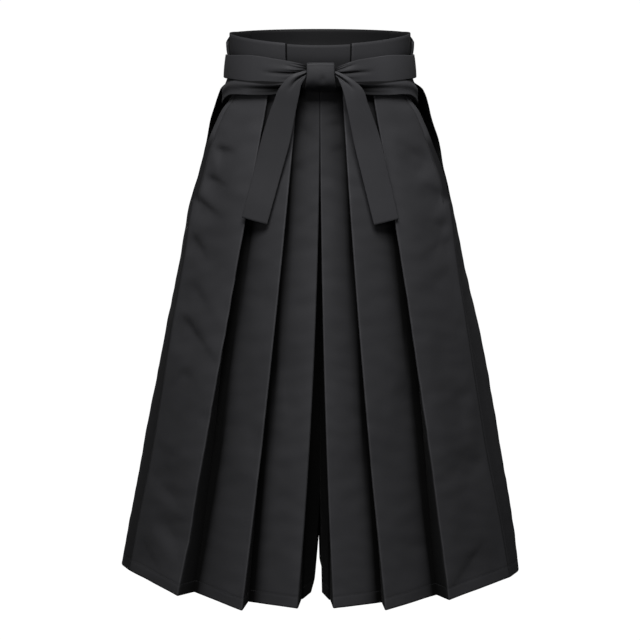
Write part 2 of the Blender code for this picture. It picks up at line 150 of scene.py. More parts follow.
EDGE_Y_TOP = -0.0360                             # the front's outer edge, at the waist
EDGE_Y_HEM = {RIGHT: -0.0180, LEFT: -0.0500}     # and at the hem
SIDE_Y_TOP = 0.0100                              # the back's widest place, at the waist
SIDE_Y_HEM = {RIGHT: 0.0060, LEFT: -0.0250}      # and at the hem
BACK_EDGE_Y = 0.0260                             # the back's front edge at the waist
BACK_EDGE_IN = 0.0006                            # how far that edge turns in
SEWN_HALF_WIDTH = 0.1474                         # the ring on which the backs are sewn
SEWN_HALF_DEPTH = 0.1050                         # to the waistband
SEWN_REACH_SIDE = 0.022                          # how far down that shapes them
SEWN_REACH_BACK = 0.147
SEAT_X = 0.0006                                  # the centre seams, from the centre plane
FRONT_SEAM_Y = (-0.0930, -0.1200)                # the front centre seam, waist and hem
BACK_SEAM_Y = (0.0960, 0.1240)
FRONT_PART_X = {RIGHT: 0.0146, LEFT: 0.0035}     # the legs' inner edges at the hem
BACK_PART_X = {RIGHT: 0.0045, LEFT: 0.0018}
FRONT_PART_Z = -0.665        # the front edges of the legs part below this
BACK_PART_Z = -0.500
SEAM_LAP = 0.0050            # how far the left panel runs on inside the right one
BACK_SEAM_SEWN_Y = 0.1004    # where the back seam meets the waistband
TUCK = 0.005                 # how far the back's inner pleat runs up behind the waistband
SEWN_RISE = 0.030            # how far down that seam is drawn in and that pleat is tucked
INNER_SWAY_TOP = 0.0060      # how far the inner legs hang out of line, both the same way
INNER_SWAY_HEM = 0.0030
SHELTER = 0.0085             # how far the painted shadow of a fold reaches over a panel
RIM_ROUND = 0.45             # how far a cloth's rounded edge stands out, in walls
SHELTER_TOP = 0.0015         # how far that painted shadow is full past a fold at the waist
FOLD_SHELTER = (0.87, 0.79)  # how much painted shade the cloth gets as it turns under, waist and hem
BEHIND_EDGE = {RIGHT: 0.60, LEFT: 0.30}   # how much painted shade a back gets beside the front's edge
BEHIND_FADE = 0.055          # and how far round the back that reaches
KNOT_SHELTER = 0.62          # how much painted shadow panel 3 gets under the knot
KNOT_SHELTER_FADE = 0.11     # and how far down that painted shadow reaches
PANEL_3 = slice(8, 11)       # the stretches of panel 3 in a front's line, with its fold
FOLD_WITHOUT_HIGHLIGHT = FRONT_PLEATS[RIGHT][2]      # the one fold that gets no painted highlight

HEM_THICK = 0.0009           # how much a turned hem adds behind the cloth
HEM_GROOVE = 0.0004          # depth of the line that its stitches draw
EDGE_GROOVE = 0.0007         # the same at the hem of a side opening
OPENING_FADE = 0.004         # over how far that hem begins, and its inner edge ends
OPENING_LINE = 0.0011        # width of the line its stitches draw, and how much painted shade lies along it
OPENING_LINE_SHADE = 0.55
OPENING_HIGHLIGHT = 0.30          # how much painted highlight that hem gets where it faces the front
OPENING_SHADE = 0.64         # and how much painted shade where it faces the side
OPENING_TURN = 0.022         # over how far it turns
OPENING_LOW_FADE = 0.014     # over how far that painted shade begins at the opening's lower end
RIM_SHADE = 0.50             # how much painted shade a panel's outer edge gets below the opening
EDGE_STIFF = 0.12            # share of the creases that is left at a panel's outer edge
EDGE_STIFF_REACH = 0.020
LEAN = 1.3                   # how far creases push sideways at a panel's outer edge

# One row for each place along a tie, from the knot to the side: the angle round the waist
# in degrees, the heights of both edges, and how far the gathered cloth stands out.
TiePlace = namedtuple("TiePlace", "angle top bottom lift")
UPPER_TIE_NEAR = {
    RIGHT: (
        TiePlace(6.6, 0.0112, -0.0050, 0.0110),
        TiePlace(9.8, 0.0128, -0.0060, 0.0066),
        TiePlace(14.0, 0.0148, -0.0100, 0.0040),
        TiePlace(20.8, 0.0174, -0.0140, 0.0020),
    ),
    LEFT: (
        TiePlace(6.6, 0.0050, -0.0050, 0.0110),
        TiePlace(9.8, 0.0080, -0.0060, 0.0066),
        TiePlace(14.0, 0.0122, -0.0100, 0.0040),
        TiePlace(20.8, 0.0172, -0.0140, 0.0020),
    ),
}
UPPER_TIE = (
    TiePlace(30.7, 0.0202, -0.0166, 0.0005),
    TiePlace(44.0, 0.0227, -0.0160, 0.0),
    TiePlace(60.0, 0.0212, -0.0155, 0.0),
    TiePlace(76.0, 0.0185, -0.0160, 0.0),
    TiePlace(92.6, 0.0175, -0.0171, 0.0),
)
LOWER_TIE = (
    TiePlace(8.5, -0.0050, -0.0190, 0.0030),
    TiePlace(11.5, -0.0030, -0.0220, 0.0015),
    TiePlace(17.2, -0.0010, -0.0285, 0.0005),
    TiePlace(25.6, 0.0, -0.0331, 0.0),
    TiePlace(42.8, -0.0020, -0.0362, 0.0),
    TiePlace(57.8, -0.0050, -0.0376, 0.0),
    TiePlace(66.0, -0.0080, -0.0402, 0.0),
    TiePlace(75.0, -0.0120, -0.0476, 0.0),
    TiePlace(82.0, -0.0140, -0.0545, 0.0),
    TiePlace(89.5, -0.0155, -0.0585, 0.0),
)
# Half width and half depth of the rings that the ties' upper and lower edges follow.
UPPER_TIE_RINGS = (0.1466, 0.1064, 0.1502, 0.1116)
LOWER_TIE_RINGS = (0.1435, 0.1062, 0.1538, 0.1122)
LOWER_TIE_SWELL = 0.0034     # how far the lower tie swells out below the upper one
TIE_HIGHLIGHT = {RIGHT: 0.42, LEFT: 0.69}     # how much painted highlight the ties get at the sides
TIE_HIGHLIGHT_ANGLE = 20.0        # degrees from the knot where that begins, and its fade
TIE_HIGHLIGHT_FADE = 26.0
LOWER_TIE_BACK_RINGS = (0.1435, 0.0905, 0.1525, 0.0915)   # inside the back panels
LOWER_TIE_BACK_RISE = 0.002
LOWER_TIE_BACK_ENDS = (270.2, 89.8)      # degrees round the waist
LOWER_TIE_BACK_STEPS = 90
LOWER_TIE_BACK_ACROSS = 8
TIE_CROWN = 0.0006           # how far the middle of a tie stands out
SWELL_PLACE = 0.52           # where the lower tie swells most, across it, and how widely
SWELL_WIDTH = 0.20
TIE_CROWDING = 1.25          # how much closer a tie's columns lie near the knot

# One row for each place down a free end: its outer and inner edge, where the inner edge
# lies in depth, and how much further back the outer edge lies.
EndPlace = namedtuple("EndPlace", "outer_x outer_z inner_x inner_z y back")
TIE_ENDS = {
    RIGHT: (
        EndPlace(0.0205, 0.0050, 0.0205, -0.0020, -0.1262, 0.0000),
        EndPlace(0.0300, 0.0026, 0.0232, -0.0070, -0.1278, 0.0000),
        EndPlace(0.0406, -0.0006, 0.0276, -0.0140, -0.1290, 0.0000),
        EndPlace(0.0588, -0.0186, 0.0314, -0.0304, -0.1288, 0.0010),
        EndPlace(0.0704, -0.0453, 0.0366, -0.0552, -0.1265, 0.0040),
        EndPlace(0.0868, -0.0942, 0.0453, -0.1004, -0.1225, 0.0080),
        EndPlace(0.1016, -0.1537, 0.0618, -0.1602, -0.1205, 0.0110),
        EndPlace(0.1195, -0.2211, 0.0812, -0.2298, -0.1200, 0.0120),
    ),
    LEFT: (
        EndPlace(0.0225, 0.0040, 0.0225, -0.0025, -0.1262, 0.0000),
        EndPlace(0.0320, 0.0004, 0.0262, -0.0080, -0.1278, 0.0000),
        EndPlace(0.0452, -0.0066, 0.0312, -0.0150, -0.1290, 0.0000),
        EndPlace(0.0623, -0.0209, 0.0362, -0.0304, -0.1288, 0.0010),
        EndPlace(0.0724, -0.0467, 0.0418, -0.0552, -0.1265, 0.0040),
        EndPlace(0.0894, -0.0942, 0.0508, -0.1004, -0.1225, 0.0080),
        EndPlace(0.1037, -0.1537, 0.0653, -0.1602, -0.1205, 0.0110),
        EndPlace(0.1202, -0.2234, 0.0830, -0.2305, -0.1200, 0.0120),
    ),
}

# The knot's band as it runs round the gathered ties: y and z of its middle line, from
# behind, over the top, down the face and under.
KNOT_X = 0.0009
KNOT_LINE = (
    (-0.1180, -0.0080), (-0.1180, 0.0095), (-0.1190, 0.0145), (-0.1225, 0.0160),
    (-0.1295, 0.0161), (-0.1330, 0.0155), (-0.1342, 0.0115), (-0.1354, 0.0060),
    (-0.1361, 0.0000), (-0.1361, -0.0055), (-0.1350, -0.0110), (-0.1327, -0.0160),
    (-0.1292, -0.0205), (-0.1247, -0.0240), (-0.1208, -0.0250), (-0.1182, -0.0225),
)
KNOT_HALF_WIDTH = 0.0203
KNOT_WIDENING = 0.10         # share by which its lower end is wider than its face
KNOT_WIDENING_Z = 0.002      # below this it widens, and over how far
KNOT_WIDENING_FADE = 0.024
KNOT_STEPS = 84
KNOT_COLUMNS = 30
KNOT_CENTRE = (-0.1250, -0.0040)         # y and z, inside its loop
KNOT_FACE_Y = -0.1290        # what lies in front of this is its face, and over how far
KNOT_FACE_FADE = 0.005
KNOT_CURL = 0.0005           # how far its side edges turn in
KNOT_DIMPLE = 0.0016         # a dimple low on its face: its depth, its place and its reach
KNOT_DIMPLE_X = 0.0030
KNOT_DIMPLE_Z = -0.0075
KNOT_DIMPLE_WIDTH = 0.0042
KNOT_DIMPLE_HEIGHT = 0.0055
KNOT_FOLD = 0.0012           # a soft fold below it: its depth, its place across and width
KNOT_FOLD_PLACE = -0.45
KNOT_FOLD_WIDTH = 0.22
KNOT_SWELL = 0.0010          # how far the middle of its face stands out

CORE_STEPS = 48              # the bunched cloth inside it, along and round
CORE_AROUND = 40
CORE_MIDDLE = (0.0022, -0.1248, -0.0095)
CORE_HALF_LENGTH = 0.0300
CORE_HALF_HEIGHT = (0.0015, 0.0105)      # at its ends, and what its middle adds
CORE_HALF_DEPTH = (0.0010, 0.0055)
CORE_DROOP = 0.0055          # how far its ends hang below its middle
CORE_RIDGES = 6.0            # folds round it, their height as a share, and their twist
CORE_RIDGE = 0.07
CORE_TWIST = 1.5

# ---- creases --------------------------------------------------------------------------

# A soft crease: both its ends as distance from the centre plane and height, its half
# width, and its depth into the cloth. A negative depth is a ridge.
Crease = namedtuple("Crease", "x0 z0 x1 z1 width depth")
FRONT_CREASES = {
    RIGHT: (
        Crease(0.161, -0.121, 0.132, -0.122, 0.0060, 0.0024),
        Crease(0.176, -0.166, 0.146, -0.175, 0.0070, 0.0026),
        Crease(0.196, -0.200, 0.160, -0.222, 0.0075, 0.0030),
        Crease(0.198, -0.261, 0.175, -0.294, 0.0085, 0.0021),
        Crease(0.197, -0.336, 0.168, -0.376, 0.0100, 0.0016),
        Crease(0.214, -0.392, 0.166, -0.444, 0.0095, 0.0026),
        Crease(0.216, -0.474, 0.196, -0.490, 0.0100, 0.0012),
        Crease(0.274, -0.668, 0.244, -0.622, 0.0110, 0.0016),
        Crease(0.262, -0.728, 0.202, -0.696, 0.0120, 0.0026),
        Crease(0.284, -0.772, 0.256, -0.800, 0.0100, 0.0012),
        Crease(0.112, -0.640, 0.150, -0.628, 0.0140, 0.0014),
        Crease(0.060, -0.560, 0.104, -0.548, 0.0150, 0.0014),
        Crease(0.036, -0.440, 0.070, -0.446, 0.0140, 0.0010),
        Crease(0.032, -0.050, 0.014, -0.056, 0.0055, 0.0013),
        Crease(0.034, -0.074, 0.006, -0.098, 0.0090, 0.0014),
        Crease(0.020, -0.150, 0.036, -0.140, 0.0080, 0.0010),
    ),
    LEFT: (
        Crease(0.128, -0.112, 0.178, -0.143, 0.0085, 0.0024),
        Crease(0.158, -0.172, 0.204, -0.199, 0.0075, 0.0024),
        Crease(0.164, -0.230, 0.204, -0.243, 0.0080, 0.0018),
        Crease(0.164, -0.280, 0.212, -0.262, 0.0090, 0.0016),
        Crease(0.172, -0.334, 0.200, -0.310, 0.0120, 0.0012),
        Crease(0.186, -0.520, 0.228, -0.512, 0.0130, 0.0014),
        Crease(0.198, -0.640, 0.226, -0.600, 0.0150, 0.0014),
        Crease(0.204, -0.812, 0.254, -0.760, 0.0100, 0.0019),
        Crease(0.112, -0.492, 0.140, -0.486, 0.0120, 0.0016),
        Crease(0.040, -0.600, 0.086, -0.590, 0.0150, 0.0014),
        Crease(0.008, -0.078, 0.032, -0.076, 0.0050, 0.0012),
        Crease(0.010, -0.060, 0.040, -0.056, 0.0060, 0.0012),
        Crease(0.014, -0.117, 0.037, -0.113, 0.0065, 0.0014),
    ),
}
BACK_CREASES = {
    RIGHT: (
        Crease(0.150, -0.112, 0.112, -0.124, 0.0110, 0.0012),
        Crease(0.168, -0.186, 0.112, -0.206, 0.0120, 0.0014),
        Crease(0.196, -0.330, 0.150, -0.372, 0.0110, 0.0022),
        Crease(0.240, -0.560, 0.180, -0.520, 0.0130, 0.0024),
        Crease(0.262, -0.700, 0.214, -0.742, 0.0120, 0.0026),
        Crease(0.060, -0.420, 0.110, -0.440, 0.0140, 0.0016),
    ),
    LEFT: (
        Crease(0.152, -0.128, 0.118, -0.118, 0.0110, 0.0012),
        Crease(0.176, -0.222, 0.122, -0.208, 0.0125, 0.0014),
        Crease(0.206, -0.400, 0.164, -0.352, 0.0110, 0.0022),
        Crease(0.246, -0.606, 0.200, -0.640, 0.0130, 0.0022),
        Crease(0.268, -0.742, 0.210, -0.702, 0.0120, 0.0026),
        Crease(0.070, -0.520, 0.116, -0.500, 0.0140, 0.0016),
    ),
}
CREASE_FADE = 0.50       # share of a crease's length over which its outer end fades
CREASE_FADE_IN = 1.20    # and its end towards the centre of the garment
CREASE_PAST = 0.25       # share of its length that it runs on past its outer end
CREASE_PAST_IN = 1.35    # where it has run out towards the centre, in its lengths
CREASE_ENDS = 0.62       # its width at its ends, as a share of the width at its middle
CREASE_WALLS = (1.35, 3.4)   # how steep its upper and lower walls are, in half widths
CREASING = 2.0           # how much deeper the creases are than the tables say
CREASE_LOW = 0.9         # how far a crease's bottom lies below its upper wall, in half widths
DENT = 0.0011            # depth of the shallow dents all over it
DENT_WIDTH = 0.030
DENT_LENGTH = 0.021
RIPPLE = 0.0016          # height of the slow unevenness of hanging cloth
RIPPLE_WIDTH = 0.055
RIPPLE_LENGTH = 0.130

# A gather in a tie: where it lies across the tie at the knot and further out, from 0 at
# the top edge to 1 at the bottom edge, how far out it reaches in degrees, its half width
# as a share of the tie's, and its depth at the knot.
Gather = namedtuple("Gather", "near far reach width depth")
UPPER_GATHERS = {
    RIGHT: (
        Gather(0.14, 0.10, 12.0, 0.045, 0.0034),
        Gather(0.34, 0.20, 15.0, 0.050, 0.0040),
        Gather(0.62, 0.58, 31.0, 0.065, 0.0070),
        Gather(0.50, 0.44, 20.0, 0.040, 0.0026),
        Gather(0.86, 0.92, 19.0, 0.070, 0.0030),
        Gather(0.44, 0.36, 34.0, 0.110, -0.0020),
    ),
    LEFT: (
        Gather(0.12, 0.08, 11.0, 0.045, 0.0034),
        Gather(0.30, 0.16, 16.0, 0.055, 0.0044),
        Gather(0.58, 0.54, 28.0, 0.065, 0.0070),
        Gather(0.72, 0.68, 15.0, 0.040, 0.0024),
        Gather(0.86, 0.90, 20.0, 0.070, 0.0028),
        Gather(0.44, 0.36, 30.0, 0.110, -0.0020),
    ),
}
LOWER_GATHERS = {
    RIGHT: (
        Gather(0.56, 0.50, 50.0, 0.075, -0.0030),
        Gather(0.74, 0.70, 46.0, 0.075, 0.0062),
        Gather(0.28, 0.24, 30.0, 0.060, 0.0018),
    ),
    LEFT: (
        Gather(0.54, 0.48, 50.0, 0.075, -0.0030),
        Gather(0.70, 0.66, 48.0, 0.080, 0.0062),
        Gather(0.34, 0.40, 44.0, 0.050, 0.0020),
    ),
}
# In a free end: near and far count from its outer edge, and reach is in metres.
END_GATHERS = (
    Gather(0.60, 0.44, 0.038, 0.085, 0.0066),
    Gather(0.80, 0.70, 0.030, 0.050, 0.0016),
    Gather(0.30, 0.18, 0.046, 0.120, -0.0026),
)
END_HIGHLIGHT = {RIGHT: 0.30, LEFT: 0.60}     # how much painted highlight the free ends get
HOLLOW = 0.0056          # a gather this deep gets full painted shade
HOLLOW_SHADE = 0.9       # how much painted shade that is in a wrapped tie, and in a free end
END_HOLLOW_SHADE = 0.95
END_CROWN = 0.0010       # how far the middle of a free end stands out
END_SLACK = 0.0016       # how far it hangs out of its plane
END_CROWDING = 1.2       # how much closer its rows lie near the knot
END_SHADE_ANGLE = 47.0   # degrees out to where a free end's painted shadow lies on the lower tie, and its fade
END_SHADE_FADE = 20.0
END_SHADE_ACROSS = (0.58, 0.10)  # where across the lower tie that begins, and its fade
END_SHADE_LESS = 0.35            # how much weaker it is at the tie's edge
END_SHADE_LESS_ACROSS = (0.86, 0.06)
OVER_SHADE_HEIGHT = 0.0028       # how far below the upper tie its painted shadow reaches
OVER_SHADE_FADE = 0.0014
GATHER_WIDTHS = (1.35, 0.9)      # a gather's width where it runs out and at the knot
GATHER_FADE = 1.3
KNOT_SHADE = 4.0         # degrees past the knot that its painted shadow reaches over the ties
KNOT_SIDE_SHADE = 0.95   # how much painted shade the ties get right beside the knot
KNOT_LOW_SHADE = 0.67    # how much painted shade the knot's lower end gets
KNOT_LOW_SHADE_Z = -0.0045       # below this, and over how far it deepens
KNOT_LOW_SHADE_FADE = 0.0165

# ---- how finely things are made ---------------------------------------------------------

PANEL_STEPS = 34         # across the widest panel
PLEAT_STEPS = 22         # across the others
RETURN_STEPS = 5         # across the cloth folded under
REACH_STEPS = 4
ARC_STEPS = 7            # round a pressed fold
SEAM_STEPS = 6
CURVE_STEPS = 300        # along a curve before its columns are placed on it
EDGE_PLACES = (0.0, 0.0040, 0.0080, 0.0100, 0.0111, 0.0120, 0.0129, 0.0140)
PAST_EDGE_PLACES = 0.018     # columns lie closer at a side opening's hem, then evenly
ROW_STEP = 0.0036        # between rows down a panel
TIE_STEPS = 110
ACROSS_TIE = 40

FLOOR_HALF = 40.0        # the floor runs past the horizon on all sides
CAMERA_PLACE = (0.0, -3.1, 0.2916)
CAMERA_TILT = 12.7       # degrees down from level
CAMERA_LENS = 111.15     # millimetres, as is the sensor
SENSOR_WIDTH = 36.0

# Where each soft light stands, what it is turned to, and its width and height.
Light = namedtuple("Light", "place aim size")
LIGHTS = {
    "key": Light((-0.05, -1.35, 1.60), (0.0, 0.0, -0.25), (1.1, 0.8)),
    "fill": Light((-0.6, -2.6, 0.3), (0.0, 0.0, -0.35), (1.0, 1.0)),
    "rear": Light((0.0, 2.7, -0.45), (0.0, 0.0, -0.35), (1.8, 0.8)),
}

STITCH = 0.0024          # length of one stitch
STITCH_SPACING = 0.0034
STITCH_RADIUS = 0.00028


def share_down(z):
    """0 at the panels' top edge and 1 at the hem."""
    return (WAIST_Z - z) / (WAIST_Z - HEM_Z)


def blend(start, end, share):
    return start + (end - start) * share


def soft_step(share):
    share = np.clip(share, 0.0, 1.0)
    return share * share * (3.0 - 2.0 * share)


def unit(vector):
    return vector / np.linalg.norm(vector)


def sewn_share(z):
    """1 at the waistband, and 0 from a little way down."""
    return soft_step((z - WAIST_Z + SEWN_RISE) / SEWN_RISE)


def turned_hem(z):
    """How much thicker the cloth is where its hem is turned in."""
    return HEM_THICK * soft_step((HEM_Z + HEM_DEPTH + 0.001 - z) / 0.002)


def through_three(top, mid, hem, share):
    """The smooth line through its values at shares 0, one half and 1."""
    bend = mid - (top + hem) / 2.0
    return blend(top, hem, share) + bend * 4.0 * share * (1.0 - share)


def inward(direction):
    """Square to a direction that runs from the side to the centre, into the garment."""
    return np.array((direction[1], -direction[0]))


def outward_back(direction):
    """The same for the back, where the garment's inside is on the other side."""
    return -inward(direction)


def smooth_between(knots, values, places, tight=False):
    """Values at places between the knots, on smooth curves through the known values.

    A tight curve doesn't swing past its known values.
    """
    knots = np.asarray(knots, float)
    values = np.asarray(values, float)
    places = np.asarray(places, float)
    gap = np.diff(knots)[:, None]
    slope = np.diff(values, axis=0) / gap
    middle = (slope[:-1] * gap[1:] + slope[1:] * gap[:-1]) / (gap[:-1] + gap[1:])
    if tight:
        least = np.minimum(np.abs(slope[:-1]), np.abs(slope[1:]))
        middle = np.sign(middle) * np.minimum(np.abs(middle), 1.3 * least)
    way = np.vstack((slope[:1], middle, slope[-1:]))
    index = np.clip(np.searchsorted(knots, places, side="right") - 1, 0, len(knots) - 2)
    step = gap[index]
    part = (places - knots[index])[:, None] / step
    rest = 1.0 - part
    return (
        values[index] * (1.0 + 2.0 * part) * rest**2
        + way[index] * step * part * rest**2
        + values[index + 1] * part**2 * (1.0 + 2.0 * rest)
        - way[index + 1] * step * part**2 * rest
    )


def lengths_along(points):
    return np.concatenate(([0.0], np.cumsum(np.linalg.norm(np.diff(points, axis=0), axis=1))))


def points_at(points, along, places):
    """The points of a line at some lengths along it."""
    return np.stack([np.interp(places, along, axis) for axis in points.T], axis=1)


def evenly(points, count):
    """The same line as count equal steps."""
    along = lengths_along(points)
    return points_at(points, along, np.linspace(0.0, along[-1], count + 1))


def smooth_through(points, count):
    """A smooth curve through the points, in count equal steps."""
    points = np.asarray(points, float)
    along = lengths_along(points)
    fine = smooth_between(along, points, np.linspace(0.0, along[-1], 8 * len(points)))
    return evenly(fine, count)


def straight(start, end, count):
    return start + (end - start) * np.linspace(0.0, 1.0, count + 1)[:, None]


# ---- the plan line of a panel -----------------------------------------------------------

def section_at(z):
    """The cut's distances at a height, on smooth curves through the table's rows."""
    table = np.array(SECTIONS)[::-1]
    row = smooth_between(table[:, 0], table[:, 1:], [z], tight=True)[0]
    return Section(z, *row)


def fold_place(pleat, share):
    x = through_three(pleat.top_x, pleat.mid_x, pleat.hem_x, share)
    return np.array((x, blend(pleat.top_y, pleat.hem_y, share)))


def fold_arc(start, heading, into, angle):
    """A pressed fold: the line turns from its heading through an angle, into the garment."""
    radius = FOLD / (2.0 * math.sin(angle / 2.0))
    turned = np.linspace(0.0, angle, ARC_STEPS + 1)[:, None]
    centre = start + into * radius
    return centre + radius * (np.sin(turned) * heading - np.cos(turned) * into)


def painted_shadow_past(points, edge, pleat, share):
    """How much painted shadow a panel gets past the fold that lies over it or the valley it
    leaves.
    """
    full = (SHELTER_TOP * (1.0 - share) * (1.0 - 2.0 * share)
            + pleat.shade_mid * 4.0 * share * (1.0 - share)
            + pleat.shade_hem * share * (2.0 * share - 1.0))
    return np.exp(-np.maximum(edge - full - points[:, 0], 0.0) / SHELTER)


def fold_sheen(count, share):
    """A painted highlight on a panel along its line, growing up to the fold at the line's end.
    """
    return blend(0.10, 0.32, share) * np.linspace(0.0, 1.0, count) ** blend(7.0, 2.0, share)


def folded_stretches(start, pleats, share, into):
    """The stretches of a line of pleats: points, and the painted highlight and painted shade of
    each.

    Each panel ends in a fold, turns back under itself and leads on to the next panel.
    """
    stretches = []
    before = start
    under = None
    edge = 0.0
    for number, pleat in enumerate(pleats):
        fold = fold_place(pleat, share)
        along = unit(fold - before)
        inner = into(along)
        middle = (before + fold) / 2.0 - inner * PANEL_BULGE * (1.0 - share)
        opened = math.radians(pleat.open_angle) * share
        angle = math.pi - opened
        back = along * math.cos(angle) + inner * math.sin(angle)
        depth = blend(pleat.top_depth, pleat.hem_depth, share)
        fold = fold - along * FOLD * math.cos(angle / 2.0)
        if under is not None:
            reach = straight(under, before, REACH_STEPS)
            panel = smooth_through((before, middle, fold), PLEAT_STEPS)
            # painted shadow beside the fold that lies over this panel
            shade = painted_shadow_past(np.vstack((reach, panel[1:])), edge, over, share)
            stretches.append((reach, 0.0, shade[:REACH_STEPS + 1]))
            stretches.append((panel, fold_sheen(len(panel), share), shade[REACH_STEPS:]))
        turn = fold_arc(fold, along, inner, angle)
        valley = turn[-1] + back * depth
        turn_back = valley + (turn[-1] - turn[::-1])
        under = turn_back[-1]
        # painted highlight on each pressed fold: partly the real sheen of a pressed fold, partly
        # light catching its edge
        highlight = 0.0 if pleat == FOLD_WITHOUT_HIGHLIGHT else 1.0
        # painted shade: the cloth darkens to black as it turns under the fold
        turned_in = blend(*FOLD_SHELTER, share)
        stretches.append((turn, highlight, np.linspace(0.0, turned_in, ARC_STEPS + 1)))
        returned = straight(turn[-1], valley, RETURN_STEPS)
        stretches.append((returned, 0.0, np.linspace(turned_in, 1.0, RETURN_STEPS + 1)))
        stretches.append((turn_back, 0.0, 1.0))
        if number + 1 < len(pleats):
            onward = unit(fold_place(pleats[number + 1], share) - under)
            loose = min(1.0, opened / math.radians(30.0))
            way = unit(along * (1.0 - loose) + onward * loose)
            hidden = max(0.0, -depth * math.cos(angle))
            edge = min(turn[-1][0], valley[0])
            over = pleat
            before = under + way * (OVER_FOLD + hidden)
    return stretches, middle, fold


def seam_place(side, z, part_z, part_hem, y, inside):
    """A panel's edge at the centre: sewn with a lap, shut, then open down to the hem."""
    opened = max(0.0, (part_z - z) / (part_z - HEM_Z)) ** 1.15
    lap = SEAM_LAP * soft_step((z - CROTCH_Z) / 0.02) if side == LEFT else 0.0
    return np.array((blend(SEAT_X, part_hem, opened) - lap, y + inside * lap * 0.6))


def front_seam(side, z):
    y = blend(*FRONT_SEAM_Y, share_down(z))
    return seam_place(side, z, FRONT_PART_Z, FRONT_PART_X[side], y, 1.0)


def back_seam(side, z):
    y = blend(blend(*BACK_SEAM_Y, share_down(z)), BACK_SEAM_SEWN_Y, sewn_share(z))
    return seam_place(side, z, BACK_PART_Z, BACK_PART_X[side], y, -1.0)


def side_value(section, side, right_name):
    return getattr(section, right_name + ("_right" if side == RIGHT else "_left"))


def front_edge(side, section):
    y = blend(EDGE_Y_TOP, EDGE_Y_HEM[side], share_down(section.z))
    return np.array((side_value(section, side, "edge"), y))


def front_line(side, z):
    """The front of one leg at a height, from its outer edge to the centre."""
    share = share_down(z)
    section = section_at(z)
    edge = front_edge(side, section)
    pleats = FRONT_PLEATS[side]
    fold = fold_place(pleats[0], share)
    inner = inward(unit(fold - edge))
    bow = PANEL_BOW * (1.0 - share) ** 2
    outer_third = edge + (fold - edge) * 0.27 - inner * bow * 0.8
    inner_third = edge + (fold - edge) * 0.52 - inner * bow
    stretches, _, _ = folded_stretches(inner_third, pleats, share, inward)
    fold = stretches[0][0][0]
    middle = (inner_third + fold) / 2.0 - inner * PANEL_BULGE * (1.0 - share)
    curve = smooth_through((edge, outer_third, inner_third, middle, fold), CURVE_STEPS)
    along = lengths_along(curve)
    places = np.concatenate((EDGE_PLACES, np.linspace(PAST_EDGE_PLACES, along[-1], PANEL_STEPS)))
    first = points_at(curve, along, places)
    # painted shadow of the knot and ties on panel 3
    under_knot = KNOT_SHELTER * math.exp((z - WAIST_Z) / KNOT_SHELTER_FADE)
    stretches[PANEL_3] = [(points, pressed, 1.0 - (1.0 - shade) * (1.0 - under_knot))
                          for points, pressed, shade in stretches[PANEL_3]]
    # painted shade: the cloth running to the centre seam is darkened to black
    last = straight(stretches[-1][0][-1], front_seam(side, z), SEAM_STEPS)
    return [(first, fold_sheen(len(first), share), 0.0)] + stretches + [(last, 0.0, 1.0)]


def sewn_on(point, z, behind):
    """A point of the back, drawn in to the waistband near the seam that joins them.

    behind is 0 at the side and 1 at the middle of the back.
    """
    reach = blend(SEWN_REACH_SIDE, SEWN_REACH_BACK, behind)
    near = soft_step((z - WAIST_Z + reach) / reach)
    size = math.hypot(point[0] / SEWN_HALF_WIDTH, point[1] / SEWN_HALF_DEPTH)
    return point * blend(1.0, 1.0 / size, near)


def back_line(side, z):
    """The back of one leg, from the side seam or opening round to the centre."""
    share = share_down(z)
    section = section_at(z)
    start = front_edge(side, section)
    widest = np.array((side_value(section, side, "side"),
                       blend(SIDE_Y_TOP, SIDE_Y_HEM[side], share)))
    if z > OPENING_Z:
        open_share = (z - OPENING_Z) / (WAIST_Z - OPENING_Z)
        rise = math.sin(min(1.0, open_share * 1.6) * math.pi / 2.0)
        start[0] = blend(start[0], widest[0] - BACK_EDGE_IN, min(1.0, open_share * 5.0))
        start[1] = blend(start[1], BACK_EDGE_Y, rise)
        widest[1] = max(widest[1], start[1] + 0.012)
    line = [sewn_on(point, z, 0.0) for point in (start, (start + widest) / 2.0, widest)]
    pleat = BACK_PLEAT._replace(top_y=section.back_y, hem_y=section.back_y)
    fold = fold_place(pleat, share)
    for turn in (22.0, 42.0, 60.0, 75.0):
        across = math.cos(math.radians(turn)) ** 0.75
        deep = math.sin(math.radians(turn)) ** 0.9
        point = np.array((blend(fold[0], widest[0], across),
                          blend(widest[1], section.back_y, deep)))
        line.append(sewn_on(point, z, math.sin(math.radians(turn))))
    stretches, middle, fold = folded_stretches(line[-1], (pleat,), share, outward_back)
    first = smooth_through(line + [middle, fold], PANEL_STEPS * 2)
    last = straight(stretches[-1][0][-1], back_seam(side, z), SEAM_STEPS)
    # painted shade on the back beside the front's edge, and painted shadow past its pleat's fold
    behind = blend(BEHIND_EDGE[side], 1.0, soft_step((z - OPENING_Z + 0.012) / 0.024))
    shade = behind * np.exp(-(lengths_along(first) / BEHIND_FADE) ** 2)
    past = painted_shadow_past(last, fold[0], BACK_PLEAT, share)
    return [(first, 0.0, shade)] + stretches + [(last, 0.0, past)]


def inner_leg_line(side, z):
    """The inner leg, from the front's inner edge to the back's."""
    front = front_seam(side, z)
    back = back_seam(side, z)
    down = (CROTCH_Z - z) / (CROTCH_Z - HEM_Z)
    sway = np.array((side * blend(INNER_SWAY_TOP, INNER_SWAY_HEM, down**2), 0.0))
    points = (front, front + (back - front) * 0.3 + sway,
              front + (back - front) * 0.7 - sway, back)
    # painted shade: the inner legs are darkened to black all over
    return [(smooth_through(points, PLEAT_STEPS * 2), 0.0, 1.0)]


# ---- sheets and walls -------------------------------------------------------------------

def rows_between(top, bottom, step):
    count = max(2, round((top - bottom) / step))
    return [blend(top, bottom, index / count) for index in range(count + 1)]


